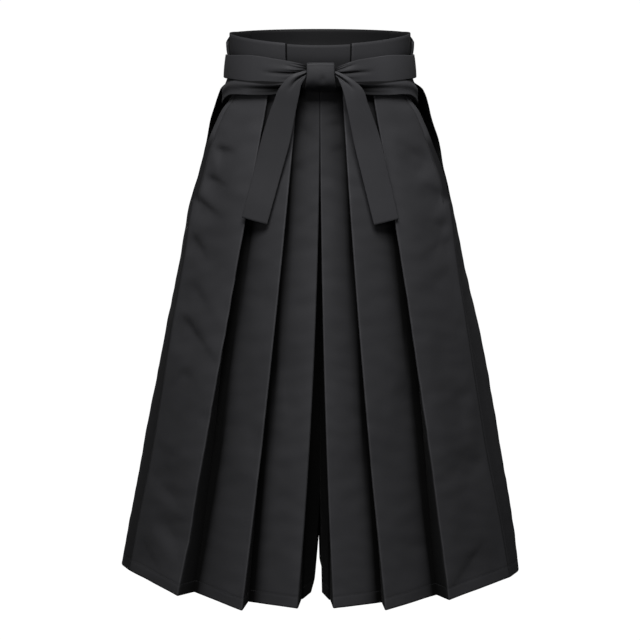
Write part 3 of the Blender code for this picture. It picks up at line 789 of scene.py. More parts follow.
def panel_rows(top):
    """Heights down a panel, closer together at the hem's stitches."""
    rows = rows_between(top, HEM_Z + HEM_DEPTH + 0.0045, ROW_STEP)
    above_edge = (HEM_DEPTH + 0.0018, HEM_DEPTH, HEM_DEPTH - 0.0018, HEM_DEPTH - 0.005,
                  HEM_DEPTH * 0.45, HEM_DEPTH * 0.15, 0.0)
    return rows + [HEM_Z + height for height in above_edge]


def panel_sheet(line, side, heights):
    """The middle of a panel's wall as rows of points, and its masks of painted highlight and
    painted shade for the material.
    """
    rows = []
    masks = {"pressed": [], "sheltered": []}
    for z in heights:
        stretches = line(side, z)
        points = [stretches[0][0][:1]]
        values = {"pressed": [], "sheltered": []}
        for number, (stretch, *amounts) in enumerate(stretches):
            points.append(stretch[1:])
            for mask, amount in zip(values.values(), amounts):
                mask.append(np.broadcast_to(amount, len(stretch))[min(number, 1):])
        plan = np.vstack(points)
        rows.append(np.column_stack((plan, np.full(len(plan), z))))
        for name, mask in values.items():
            masks[name].append(np.concatenate(mask))
    return np.array(rows), {name: np.array(mask) for name, mask in masks.items()}


def crease_depth(creases, x, z):
    """How far soft creases push the cloth in at places given by x and height."""
    depth = np.zeros_like(x)
    for crease in creases:
        start = np.array((crease.x0, crease.z0))
        run = np.array((crease.x1, crease.z1)) - start
        length = np.linalg.norm(run)
        run = run / length
        off_x = x - start[0]
        off_z = z - start[1]
        along = (off_x * run[0] + off_z * run[1]) / length
        above = (off_x * run[1] - off_z * run[0]) / crease.width
        if run[0] > 0.0:
            above = -above
        inner = 1.0 - along if run[0] > 0.0 else along
        fade = (soft_step((CREASE_PAST_IN - inner) / CREASE_FADE_IN)
                * soft_step((inner + CREASE_PAST) / CREASE_FADE))
        above = above / (CREASE_ENDS + (1.0 - CREASE_ENDS) * fade) + CREASE_LOW
        trough = np.exp(-((above / np.where(above > 0.0, *CREASE_WALLS)) ** 2))
        depth += crease.depth * CREASING * fade * trough
    return depth


def ripple(x, z, seed):
    """Unevenness of hanging cloth, fading out at the waist: slow waves and small dents."""
    flat = np.empty(x.size)
    for index, (across, height) in enumerate(zip(x.ravel(), z.ravel())):
        place = Vector((across / RIPPLE_WIDTH, height / RIPPLE_LENGTH, seed))
        dent = Vector((across / DENT_WIDTH, height / DENT_LENGTH + across * 12.0, seed + 9.0))
        flat[index] = RIPPLE * noise.noise(place) + DENT * noise.noise(dent)
    return flat.reshape(x.shape) * soft_step((WAIST_Z - z) / 0.06)


def ways(points):
    """Unit directions along a line of rows of points, even where steps are uneven."""
    steps = np.diff(points, axis=0)
    size = np.linalg.norm(steps, axis=2, keepdims=True)
    steps = steps / np.maximum(size, 1e-9)
    joined = np.concatenate((steps[:1], steps[:-1] + steps[1:], steps[-1:]))
    return joined / np.maximum(np.linalg.norm(joined, axis=2, keepdims=True), 1e-9)


def normals_of(sheet):
    down = ways(sheet)
    across = ways(sheet.transpose(1, 0, 2)).transpose(1, 0, 2)
    normal = np.cross(across, down)
    return normal / np.maximum(np.linalg.norm(normal, axis=2, keepdims=True), 1e-9)


def cloth_lengths(sheet):
    """Distance across and down the cloth, as it would lie flat."""
    across = np.linalg.norm(np.diff(sheet, axis=1), axis=2)
    across = np.concatenate((np.zeros((len(sheet), 1)), np.cumsum(across, axis=1)), axis=1)
    down = np.linalg.norm(np.diff(sheet, axis=0), axis=2)
    down = np.concatenate((np.zeros((1, sheet.shape[1])), np.cumsum(down, axis=0)))
    middle = across[:, -1:] / 2.0
    return across - middle, np.broadcast_to(down.mean(axis=1, keepdims=True), down.shape)


def boundary_of(rows, columns):
    """Places of a grid's outer points in order, and of the point inside each of them."""
    loop = [(0, column) for column in range(columns)]
    loop += [(row, columns - 1) for row in range(1, rows)]
    loop += [(rows - 1, column) for column in range(columns - 2, -1, -1)]
    loop += [(row, 0) for row in range(rows - 2, 0, -1)]
    inside = [(min(max(row, 1), rows - 2), min(max(column, 1), columns - 2))
              for row, column in loop]
    return loop, inside


def lay_map(mesh, flat):
    """Give each corner its vertex's place on the flat cloth, as the map named cloth."""
    corner = np.empty(len(mesh.loops), dtype=np.int32)
    mesh.loops.foreach_get("vertex_index", corner)
    mesh.uv_layers.new(name="cloth").data.foreach_set("uv", flat[corner].ravel())


def lay_mask(mesh, name, values):
    mesh.attributes.new(name, "FLOAT", "POINT").data.foreach_set("value", values)


def new_mesh(name, vertices, faces):
    mesh = bpy.data.meshes.new(name)
    mesh.from_pydata(vertices.tolist(), [], faces)
    return mesh


def place_mesh(name, mesh):
    """The finished mesh, smooth, as an object at the origin."""
    mesh.shade_smooth()
    mesh.validate()
    piece = bpy.data.objects.new(name, mesh)
    bpy.context.scene.collection.objects.link(piece)
    return piece


def make_wall(name, sheet, wall, outward=1.0, mirror=1.0, turned=0.0, masks=None):
    """A closed wall of cloth round a grid of points, with rounded edges.

    outward is which way the grid's normals point, turned is how much thicker the inner
    face is at each point, as at a hem, and masks are extra values for the material.
    """
    rows, columns = sheet.shape[:2]
    count = rows * columns
    normal = normals_of(sheet) * outward
    extra = np.broadcast_to(turned, (rows, columns))
    outer = sheet + normal * wall / 2.0
    inner = sheet - normal * (wall / 2.0 + extra)[:, :, None]
    loop, inside = boundary_of(rows, columns)

    def round_the_edge(grid):
        return np.array([grid[place] for place in loop])

    away = round_the_edge(sheet) - np.array([sheet[place] for place in inside])
    facing = round_the_edge(normal)
    away -= np.sum(away * facing, axis=1, keepdims=True) * facing
    away /= np.maximum(np.linalg.norm(away, axis=1, keepdims=True), 1e-9)
    mid_wall = (round_the_edge(outer) + round_the_edge(inner)) / 2.0
    rim = mid_wall + away * wall * RIM_ROUND
    vertices = np.vstack((outer.reshape(-1, 3), inner.reshape(-1, 3), rim))
    vertices[:, 0] *= mirror
    number = np.arange(count).reshape(rows, columns)
    quads = np.stack((number[:-1, :-1], number[:-1, 1:], number[1:, 1:], number[1:, :-1]),
                     axis=2).reshape(-1, 4)
    ring = round_the_edge(number)
    after = np.roll(ring, -1)
    mids = 2 * count + np.arange(len(ring))
    mids_after = np.roll(mids, -1)
    faces = np.vstack((
        quads,
        quads[:, ::-1] + count,
        np.column_stack((after, ring, mids, mids_after)),
        np.column_stack((mids_after, mids, ring + count, after + count)),
    ))
    if signed_volume(vertices, faces) < 0.0:
        faces = faces[:, ::-1]
    mesh = new_mesh(name + "_cloth", vertices, faces.tolist())
    flat = np.stack(cloth_lengths(sheet), axis=2).reshape(-1, 2)
    lay_map(mesh, np.vstack((flat, flat, flat[ring])))
    values = dict(masks or {})
    # the inner face, whose colour the material darkens as painted shade
    values["inside"] = np.concatenate((np.zeros(count), np.ones(count), np.zeros(len(ring))))
    for key, value in values.items():
        if value.size == count:
            value = value.ravel()
            value = np.concatenate((value, value, value[ring]))
        lay_mask(mesh, key, value)
    return place_mesh(name + "_cloth", mesh), outer


def signed_volume(vertices, faces):
    """Positive where the faces of a closed mesh point out."""
    corners = vertices[faces]
    first = np.einsum("ij,ij->i", corners[:, 0], np.cross(corners[:, 1], corners[:, 2]))
    second = np.einsum("ij,ij->i", corners[:, 0], np.cross(corners[:, 2], corners[:, 3]))
    return float(np.sum(first + second))


def settle(piece, node_slot, material, *nodes):
    """Give a piece its finish, and let it stand for the nodes it covers."""
    piece.data.materials.append(material)
    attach(piece, "root")
    if nodes:
        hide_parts(*nodes)


# ---- fronts and backs -------------------------------------------------------------------

def deepen(masks, name, values):
    masks[name] = np.maximum(masks[name], values)


def hem_side_opening(masks, turned, z, from_edge):
    """Turn in the hem of a side opening, and paint light and shade on it: painted shade along
    its stitched line, a painted highlight where it faces the front, and painted shade where it
    faces the side and on the edge below the opening. Gives the cloth's thickness and the
    stitched line.
    """
    opened = soft_step((z - OPENING_Z) / OPENING_FADE)
    inner_edge = EDGE_DEPTH + OPENING_FADE / 2.0
    turned = np.maximum(turned, HEM_THICK * opened
                        * soft_step((inner_edge - from_edge) / OPENING_FADE))
    line = opened * np.exp(-((from_edge - EDGE_DEPTH) / OPENING_LINE) ** 2)
    deepen(masks, "sheltered", OPENING_LINE_SHADE * line)
    hem = opened * soft_step((EDGE_DEPTH - from_edge) / 0.002)
    aside = soft_step((HEM_TURN_Z - z) / OPENING_TURN)
    deepen(masks, "pressed", OPENING_HIGHLIGHT * hem * (1.0 - aside))
    aside = aside * soft_step((z - OPENING_Z) / OPENING_LOW_FADE)
    deepen(masks, "sheltered", OPENING_SHADE * hem * aside)
    rim = (1.0 - opened) * soft_step((0.0020 - from_edge) / 0.0012)
    deepen(masks, "sheltered", RIM_SHADE * rim)
    return turned, line


def hang_panel(name, side, line, creases, material, wall,
               outward=1.0, depth_scale=1.0, seed=0.0, edge_hem=False, tucked=None):
    """One front or back of a leg. Gives its rows' heights, its outer face and from_edge,
    each point's distance from the outer edge. From column tucked on it runs up behind
    the waistband.
    """
    heights = panel_rows(WAIST_Z)
    sheet, masks = panel_sheet(line, side, heights)
    x = sheet[:, :, 0]
    z = sheet[:, :, 2]
    push = -crease_depth(creases, x, z) * depth_scale + ripple(x, z, seed) * depth_scale
    across, _ = cloth_lengths(sheet)
    push *= blend(EDGE_STIFF, 1.0, soft_step((across - across[:, :1]) / EDGE_STIFF_REACH))
    lean = LEAN * (x / x.max(axis=1, keepdims=True)) ** 2
    size = np.sqrt(1.0 + lean**2)
    sheet[:, :, 0] += push * lean / size * soft_step(x / 0.03)
    sheet[:, :, 1] -= push / size * outward
    across, _ = cloth_lengths(sheet)
    from_edge = across - across[:, :1]
    turned = turned_hem(z)
    groove = HEM_GROOVE * np.exp(-((z - HEM_Z - HEM_DEPTH) / 0.0012) ** 2)
    if edge_hem:
        turned, stitched = hem_side_opening(masks, turned, z, from_edge)
        groove += EDGE_GROOVE * stitched
    sheet -= (normals_of(sheet) * outward) * groove[:, :, None]
    if tucked:
        sheet[:, tucked:, 2] += TUCK * sewn_share(z[:, tucked:])
    piece, outer = make_wall(name, sheet, wall, outward, side, turned, masks)
    settle(piece, "cloth", material, name)
    outer[:, :, 0] *= side
    return heights, outer, from_edge


SEAMS = []               # lines of stitches: points on the cloth and the way out of it


def keep_row_seam(outer, heights, z, side_out):
    """Remember the stitches that run across a panel at one height."""
    row = int(np.argmin(np.abs(np.array(heights) - z)))
    SEAMS.append((outer[row], normals_of(outer)[row] * side_out))


def keep_edge_seam(outer, heights, from_edge, distance, z_top, z_bottom, side_out):
    """Remember the stitches that run down a panel at a distance from its edge."""
    normal = normals_of(outer)
    points = []
    outs = []
    for row, z in enumerate(heights):
        if z_bottom <= z <= z_top:
            column = int(np.searchsorted(from_edge[row], distance))
            start = from_edge[row][column - 1]
            part = (distance - start) / (from_edge[row][column] - start)
            points.append(blend(outer[row][column - 1], outer[row][column], part))
            outs.append(normal[row][column])
    SEAMS.append((np.array(points), np.array(outs) * side_out))


# ---- waistband --------------------------------------------------------------------------

def ring_point(half_width, half_depth, angle, z):
    """A point on an oval ring: angle 0 is the front's middle, and a quarter turn is +X."""
    return np.array((half_width * math.sin(angle), -half_depth * math.cos(angle), z))


def ring_way_out(half_width, half_depth, angle):
    return unit(np.array((math.sin(angle) / half_width, -math.cos(angle) / half_depth, 0.0)))


def ring_angle(x, half_width):
    return math.asin(max(-1.0, min(1.0, x / half_width)))


def band_sheet(start_angle, end_angle, columns, half_width, half_depth, top_of, bottom, seed):
    """The middle of an upright band's wall, which is a little uneven, as worn."""
    angles = np.linspace(start_angle, end_angle, columns + 1)
    sheet = np.empty((BAND_ROWS + 1, columns + 1, 3))
    for column, angle in enumerate(angles):
        top = top_of(angle)
        out = ring_way_out(half_width, half_depth, angle)
        for row in range(BAND_ROWS + 1):
            down = row / BAND_ROWS
            z = blend(top, bottom, down)
            place = Vector((angle * 2.4, down * 0.8, seed))
            dip = WAIST_DIP * math.exp(-((z - WAIST_DIP_Z) / WAIST_DIP_REACH) ** 2)
            wave = BAND_UNEVEN * noise.noise(place) - dip
            sheet[row, column] = ring_point(half_width, half_depth, angle, z) + out * wave
    return sheet


def front_top(drop):
    return lambda angle: WAIST_TOP_FRONT + WAIST_TOP_RISE * math.sin(angle) ** 2 - drop


def back_top(angle):
    rise = min(1.0, max(0.0, -math.cos(angle)) / 0.45)
    return blend(BACK_END_TOP, WAIST_TOP_BACK, rise * rise * (3.0 - 2.0 * rise))


def hang_band(name, sheet, wall, material, masks=None, turned=0.0):
    piece, _ = make_wall(name, sheet, wall, turned=turned, masks=masks)
    settle(piece, "band_cloth", material, name)


def band_masks(sheet, name):
    """Where the waistband gets painted shade, over the ties and at the laps, and where a painted
    highlight.
    """
    x = np.abs(sheet[:, :, 0])
    shade = np.zeros_like(x)
    highlight = np.zeros_like(x)
    low = soft_step((BAND_LOW_Z - sheet[:, :, 2]) / BAND_LOW_FADE)
    if name == "waistband_front_centre":
        lap = np.where(sheet[:, :, 0] < 0.0, CENTRE_RIGHT_X, CENTRE_LEFT_X)
        beside = np.clip((x - lap + LAP_SHADE_WIDTH) / LAP_SHADE_FADE, 0.0, 1.0)
        shade = np.maximum(BAND_MIDDLE_SHADE[0] + BAND_MIDDLE_SHADE[1] * low, beside)
    elif name != "waistband_back":
        near_knot = soft_step((BAND_SIDE_SHADE_X - x) / BAND_SIDE_SHADE_FADE)
        shade = BAND_SIDE_SHADE * low * near_knot
        tie_highlight = TIE_HIGHLIGHT[LEFT if name.endswith("left") else RIGHT]
        highlight = 0.5 * tie_highlight * soft_step(x / BAND_HIGHLIGHT_X)
    return {"sheltered": shade, "pressed": highlight}


def make_waistband(wall, material):
    right_lap = ring_angle(-CENTRE_RIGHT_X, WAIST_HALF_WIDTH)
    left_lap = ring_angle(CENTRE_LEFT_X, WAIST_HALF_WIDTH)
    hidden = LAP_WIDTH / WAIST_HALF_DEPTH
    front_end = math.radians(FRONT_END_ANGLE)
    back_end = math.radians(BACK_END_ANGLE)
    inner_width = WAIST_HALF_WIDTH - LAP
    inner_depth = WAIST_HALF_DEPTH - LAP
    bottom = WAIST_Z - 0.0005
    stretches = (
        ("waistband_front_centre", left_lap + hidden, right_lap - hidden,
         inner_width, inner_depth, front_top(CENTRE_DROP), 84, (0.125, 0.058), 1.7),
        ("waistband_front_right", right_lap, -front_end,
         WAIST_HALF_WIDTH, WAIST_HALF_DEPTH, front_top(0.0), 72, (0.225, 0.068), 4.1),
        ("waistband_front_left", front_end, left_lap,
         WAIST_HALF_WIDTH, WAIST_HALF_DEPTH, front_top(0.0), 72, (0.229, 0.068), 6.3),
        ("waistband_back", math.radians(360.0 - BACK_END_ANGLE), back_end,
         BACK_HALF_WIDTH, BACK_HALF_DEPTH, back_top, 96, (0.395, 0.066), 8.9),
    )
    for name, start, end, half_width, half_depth, top_of, columns, flat, seed in stretches:
        sheet = band_sheet(start, end, columns, half_width, half_depth, top_of, bottom, seed)
        turned = 0.0
        masks = band_masks(sheet, name)
        if name == "waistband_back":
            from_end = np.minimum(np.arange(columns + 1), columns - np.arange(columns + 1))
            turned = np.broadcast_to(BACK_END_FOLD * (from_end < 2), sheet.shape[:2])
        hang_band(name, sheet, wall, material, masks, turned)


# ---- ties -------------------------------------------------------------------------------

def gather_push(gathers, across, near_knot):
    """How far the gathers of a tie push its cloth in, by place across and along it.

    near_knot gives, for a gather's reach, how near a place is to the knot: 1 at the
    knot, and 0 where the gather has run out.
    """
    push = np.zeros_like(across)
    for gather in gathers:
        near = near_knot(gather.reach)
        middle = blend(gather.far, gather.near, near)
        width = gather.width * blend(*GATHER_WIDTHS, near)
        trough = np.exp(-((across - middle) / width) ** 2)
        push += gather.depth * near**GATHER_FADE * trough
    return push


def tie_sheet(side, table, rings, gathers, swell):
    top_width, top_depth, bottom_width, bottom_depth = rings
    rows = np.array(table)
    angles = blend(rows[0, 0], rows[-1, 0],
                   np.linspace(0.0, 1.0, TIE_STEPS + 1) ** TIE_CROWDING)
    places = smooth_between(rows[:, 0], rows[:, 1:], angles)
    across = np.linspace(0.0, 1.0, ACROSS_TIE + 1)[:, None] * np.ones((1, TIE_STEPS + 1))
    past_knot = angles - rows[0, 0]
    push = gather_push(gathers, across,
                       lambda reach: np.clip(1.0 - past_knot / reach, 0.0, 1.0)[None, :])
    sheet = np.empty((ACROSS_TIE + 1, TIE_STEPS + 1, 3))
    for column, (angle, (top, bottom, lift)) in enumerate(zip(angles, places)):
        turn = side * math.radians(angle)
        upper = ring_point(top_width + lift, top_depth + lift, turn, top)
        lower = ring_point(bottom_width + lift, bottom_depth + lift, turn, bottom)
        out = ring_way_out(top_width, top_depth, turn)
        crown = (TIE_CROWN * np.sin(math.pi * across[:, column]) ** 0.8
                 + swell * np.exp(-((across[:, column] - SWELL_PLACE) / SWELL_WIDTH) ** 2))
        sheet[:, column] = (upper + (lower - upper) * across[:, column:column + 1]
                            + out * (crown - push[:, column])[:, None])
    # painted shade in the gathers' hollows and right beside the knot
    shade = HOLLOW_SHADE * np.clip(push / HOLLOW, 0.0, 1.0)
    beside_knot = KNOT_SIDE_SHADE * np.exp(-(past_knot / KNOT_SHADE) ** 2)
    shade = np.maximum(shade, beside_knot[None, :])
    if swell > 0.0:
        # painted shadow of the free end and of the upper tie on the lower tie
        beside_end = np.clip((END_SHADE_ANGLE - angles) / END_SHADE_FADE, 0.0, 1.0) ** 0.7
        start, fade = END_SHADE_ACROSS
        less_start, less_fade = END_SHADE_LESS_ACROSS
        below = (soft_step((across - start) / fade)
                 * (1.0 - END_SHADE_LESS * soft_step((across - less_start) / less_fade)))
        shade = np.maximum(shade, beside_end[None, :] * below)
        over = np.array(UPPER_TIE_NEAR[side] + UPPER_TIE)
        edge = smooth_between(over[:, 0], over[:, 2:3], angles)[:, 0]
        under = soft_step((sheet[:, :, 2] - edge + OVER_SHADE_HEIGHT) / OVER_SHADE_FADE)
        shade = np.maximum(shade, HOLLOW_SHADE * under)
    # painted highlight on the ties' sides
    highlight = soft_step((angles - TIE_HIGHLIGHT_ANGLE) / TIE_HIGHLIGHT_FADE)
    highlight = TIE_HIGHLIGHT[side] * highlight * np.ones_like(across)
    masks = {"sheltered": shade, "pressed": highlight}
    if side == LEFT:
        return sheet[:, ::-1], {name: mask[:, ::-1] for name, mask in masks.items()}
    return sheet, masks


def make_wrapped_ties(wall, material):
    for side, word in SIDES:
        sheet, masks = tie_sheet(side, LOWER_TIE, LOWER_TIE_RINGS, LOWER_GATHERS[side],
                                 LOWER_TIE_SWELL)
        hang_band("lower_tie_" + word, sheet, wall, material, masks)
        sheet, masks = tie_sheet(side, UPPER_TIE_NEAR[side] + UPPER_TIE, UPPER_TIE_RINGS,
                                 UPPER_GATHERS[side], 0.0)
        hang_band("upper_tie_" + word, sheet, wall, material, masks)
    top_width, top_depth, bottom_width, bottom_depth = LOWER_TIE_BACK_RINGS
    last = LOWER_TIE[-1]
    start, end = np.radians(LOWER_TIE_BACK_ENDS)
    angles = np.linspace(start, end, LOWER_TIE_BACK_STEPS + 1)
    sheet = np.empty((LOWER_TIE_BACK_ACROSS + 1, len(angles), 3))
    for column, angle in enumerate(angles):
        level = LOWER_TIE_BACK_RISE * max(0.0, -math.cos(angle))
        upper = ring_point(top_width, top_depth, angle, last.top + level)
        lower = ring_point(bottom_width, bottom_depth, angle, last.bottom + level)
        sheet[:, column] = straight(upper, lower, LOWER_TIE_BACK_ACROSS)
    hang_band("lower_tie_back", sheet, wall, material)


def tie_end_sheet(side):
    rows = np.array(TIE_ENDS[side])
    middle = (rows[:, :2] + rows[:, 2:4]) / 2.0
    along = lengths_along(middle)
    places = np.linspace(0.0, 1.0, TIE_STEPS + 1) ** END_CROWDING * along[-1]
    line = smooth_between(along, rows, places)
    across = np.ones((TIE_STEPS + 1, 1)) * np.linspace(0.0, 1.0, ACROSS_TIE + 1)[None, :]
    push = gather_push(END_GATHERS, across,
                       lambda reach: np.clip(1.0 - places / reach, 0.0, 1.0)[:, None])
    slack = np.array([noise.noise(Vector((place * 14.0, side * 3.0, 0.5))) for place in places])
    sheet = np.empty((TIE_STEPS + 1, ACROSS_TIE + 1, 3))
    for row, place in enumerate(line):
        outer_x, outer_z, inner_x, inner_z, y, back = place
        share = across[row]
        crown = END_CROWN * np.sin(math.pi * share)
        sheet[row, :, 0] = side * blend(outer_x, inner_x, share)
        sheet[row, :, 1] = y + back * (1.0 - share) - crown + push[row] - slack[row] * END_SLACK
        sheet[row, :, 2] = blend(outer_z, inner_z, share)
    # painted shade in the gathers' hollows
    return sheet, END_HOLLOW_SHADE * np.clip(push / HOLLOW, 0.0, 1.0)


def make_tie_ends(wall, material):
    for side, word in SIDES:
        sheet, shade = tie_end_sheet(side)
        if side == RIGHT:
            sheet = sheet[:, ::-1]
            shade = shade[:, ::-1]
        masks = {"sheltered": shade, "pressed": np.full(shade.shape, END_HIGHLIGHT[side])}
        piece, _ = make_wall("tie_end_" + word, sheet, wall, masks=masks)
        settle(piece, "band_cloth", material, "tie_end_" + word)


# ---- knot -------------------------------------------------------------------------------

def make_knot(wall, material):
    """The tie's cloth pulled round the gathered ties, over the top and under."""
    line = smooth_through(KNOT_LINE, KNOT_STEPS)
    across = np.linspace(-1.0, 1.0, KNOT_COLUMNS + 1)
    sheet = np.empty((len(line), KNOT_COLUMNS + 1, 3))
    for row, (y, z) in enumerate(line):
        low = soft_step((KNOT_WIDENING_Z - z) / KNOT_WIDENING_FADE)
        half = KNOT_HALF_WIDTH * (1.0 + KNOT_WIDENING * low)
        inward_way = unit(np.array(KNOT_CENTRE) - np.array((y, z)))
        front = soft_step((KNOT_FACE_Y - y) / KNOT_FACE_FADE)
        for column, share in enumerate(across):
            curl = KNOT_CURL * abs(share) ** 6
            aside = (share * half - KNOT_DIMPLE_X) / KNOT_DIMPLE_WIDTH
            above = (z - KNOT_DIMPLE_Z) / KNOT_DIMPLE_HEIGHT
            dimple = KNOT_DIMPLE * front * math.exp(-aside ** 2 - above ** 2)
            past_fold = (share - KNOT_FOLD_PLACE) / KNOT_FOLD_WIDTH
            fold = KNOT_FOLD * front * low * math.exp(-past_fold ** 2)
            swell = KNOT_SWELL * front * math.cos(share * math.pi / 2.0)
            depth = curl + dimple + fold - swell
            sheet[row, column] = (
                KNOT_X + share * half,
                y + inward_way[0] * depth,
                z + inward_way[1] * depth,
            )
    # painted shade on the knot's lower end, where it curves under
    low = soft_step((KNOT_LOW_SHADE_Z - sheet[:, ::-1, 2]) / KNOT_LOW_SHADE_FADE)
    shade = KNOT_LOW_SHADE * low
    piece, _ = make_wall("knot", sheet[:, ::-1], wall, masks={"sheltered": shade})
    settle(piece, "band_cloth", material, "knot")


def make_knot_core(material):
    """The bunched cloth of both ties inside the knot, showing beside its lower half."""
    x, y, z = CORE_MIDDLE
    sheet = np.empty((CORE_STEPS + 1, CORE_AROUND + 1, 3))
    for row, along in enumerate(np.linspace(-1.0, 1.0, CORE_STEPS + 1)):
        full = math.sqrt(max(0.0, 1.0 - abs(along) ** 5))
        height = CORE_HALF_HEIGHT[0] + CORE_HALF_HEIGHT[1] * full
        depth = CORE_HALF_DEPTH[0] + CORE_HALF_DEPTH[1] * full
        for column, turn in enumerate(np.linspace(0.0, 2.0 * math.pi, CORE_AROUND + 1)):
            wave = CORE_RIDGE * math.sin(CORE_RIDGES * turn + CORE_TWIST * along)
            ridge = 1.0 + wave * abs(along) ** 0.5
            sheet[row, column] = (
                x + CORE_HALF_LENGTH * along,
                y + depth * ridge * math.sin(turn),
                z - CORE_DROOP * abs(along) ** 2 + height * ridge * math.cos(turn),
            )
    vertices = sheet[:, :-1].reshape(-1, 3)
    number = np.arange(len(vertices)).reshape(CORE_STEPS + 1, CORE_AROUND)
    after = np.roll(number, -1, axis=1)
    quads = np.stack((number[:-1], after[:-1], after[1:], number[1:]), axis=2).reshape(-1, 4)
    faces = quads.tolist() + [number[0, ::-1].tolist(), number[-1].tolist()]
    if signed_volume(vertices, quads) < 0.0:
        faces = [face[::-1] for face in faces]
    mesh = new_mesh("knot_core", vertices, faces)
    lay_map(mesh, vertices[:, [0, 2]])
    # painted shade: the bunched cloth is darkened to black all over
    lay_mask(mesh, "sheltered", np.full(len(vertices), 1.0))
    settle(place_mesh("knot_core", mesh), "band_cloth", material)


# ---- stitches ---------------------------------------------------------------------------

def stitch_shape():
    """One stitch: a short rounded thread along +X, standing up along +Z."""
    sides = 6
    half = STITCH / 2.0
    points = [(-half, 0.0, -STITCH_RADIUS)]
    for x in (-half * 0.62, half * 0.62):
        for index in range(sides):
            turn = 2.0 * math.pi * index / sides
            points.append((x, STITCH_RADIUS * math.cos(turn), STITCH_RADIUS * math.sin(turn)))
    points.append((half, 0.0, -STITCH_RADIUS))
    last = len(points) - 1
    faces = []
    for index in range(sides):
        after = (index + 1) % sides
        faces.append((0, 1 + after, 1 + index))
        faces.append((1 + index, 1 + after, 1 + sides + after))
        faces.append((1 + index, 1 + sides + after, 1 + sides + index))
        faces.append((last, 1 + sides + index, 1 + sides + after))
    return np.array(points), np.array(faces)


def make_stitches(material):
    shape, shape_faces = stitch_shape()
    vertices = []
    faces = []
    for points, outs in SEAMS:
        along = lengths_along(points)
        for place in np.arange(STITCH_SPACING, along[-1] - STITCH, STITCH_SPACING):
            near = np.array([place - STITCH / 2.0, place, place + STITCH / 2.0])
            here = points_at(points, along, near)
            out = unit(np.array([np.interp(place, along, axis) for axis in outs.T]))
            way = unit(here[2] - here[0])
            side = unit(np.cross(out, way))
            turned = np.stack((way, side, np.cross(way, side)))
            faces.append(shape_faces + len(vertices) * len(shape))
            vertices.append(shape @ turned + here[1] + out * STITCH_RADIUS * 0.35)
    mesh = new_mesh("stitches", np.vstack(vertices), np.vstack(faces).tolist())
    settle(place_mesh("stitches", mesh), "cloth", material)


# ---- materials --------------------------------------------------------------------------

def new_group(name, inputs, outputs):
    """A shader node group with named sockets, given as kind and default value."""
    group = bpy.data.node_groups.new(name, "ShaderNodeTree")
    for word, (kind, value) in inputs.items():
        socket = group.interface.new_socket(word, in_out="INPUT", socket_type=kind)
        if value is not None:
            socket.default_value = value
    for word, kind in outputs.items():
        group.interface.new_socket(word, in_out="OUTPUT", socket_type=kind)
    return group, group.nodes.new("NodeGroupInput"), group.nodes.new("NodeGroupOutput")


def node_maker(tree):
    """Two short helpers for a node tree: one adds a node, the other a Math node."""
    def add(kind, links=None, **settings):
        node = tree.nodes.new(kind)
        for word, value in settings.items():
            setattr(node, word, value)
        for socket, source in (links or {}).items():
            if isinstance(source, bpy.types.NodeSocket):
                tree.links.new(source, node.inputs[socket])
            else:
                node.inputs[socket].default_value = source
        return node

    def calculate(operation, first, second=0.0, third=0.0):
        values = {0: first, 1: second, 2: third}
        return add("ShaderNodeMath", values, operation=operation).outputs[0]

    return add, calculate


def twill_group():
    """Diagonal wales of a fine twill: their height, and the tone of the threads."""
    group, given, made = new_group(
        "Twill weave",
        {"Cloth": ("NodeSocketVector", None), "Wales": ("NodeSocketFloat", 900.0)},
        {"Height": "NodeSocketFloat", "Tone": "NodeSocketFloat"},
    )
    add, calculate = node_maker(group)
    place = add("ShaderNodeSeparateXYZ", {"Vector": given.outputs["Cloth"]})
    diagonal = calculate("MULTIPLY_ADD", place.outputs["Y"], 0.85, place.outputs["X"])
    turned = calculate("MULTIPLY", diagonal, given.outputs["Wales"])
    wave = calculate("SINE", calculate("MULTIPLY", turned, 2.0 * math.pi))
    scaled = add("ShaderNodeVectorMath", {0: given.outputs["Cloth"], 1: (420.0, 900.0, 1.0)},
                 operation="MULTIPLY")
    threads = add("ShaderNodeTexNoise", {"Vector": scaled.outputs[0], "Scale": 1.0,
                                         "Detail": 2.0, "Roughness": 0.6})
    ribs = calculate("MULTIPLY_ADD", wave, 0.35, 0.5)
    height = calculate("MULTIPLY_ADD", threads.outputs["Fac"], 0.45, ribs)
    tone = calculate("MULTIPLY_ADD", height, 0.22, 0.83)
    group.links.new(height, made.inputs["Height"])
    group.links.new(tone, made.inputs["Tone"])
    return group


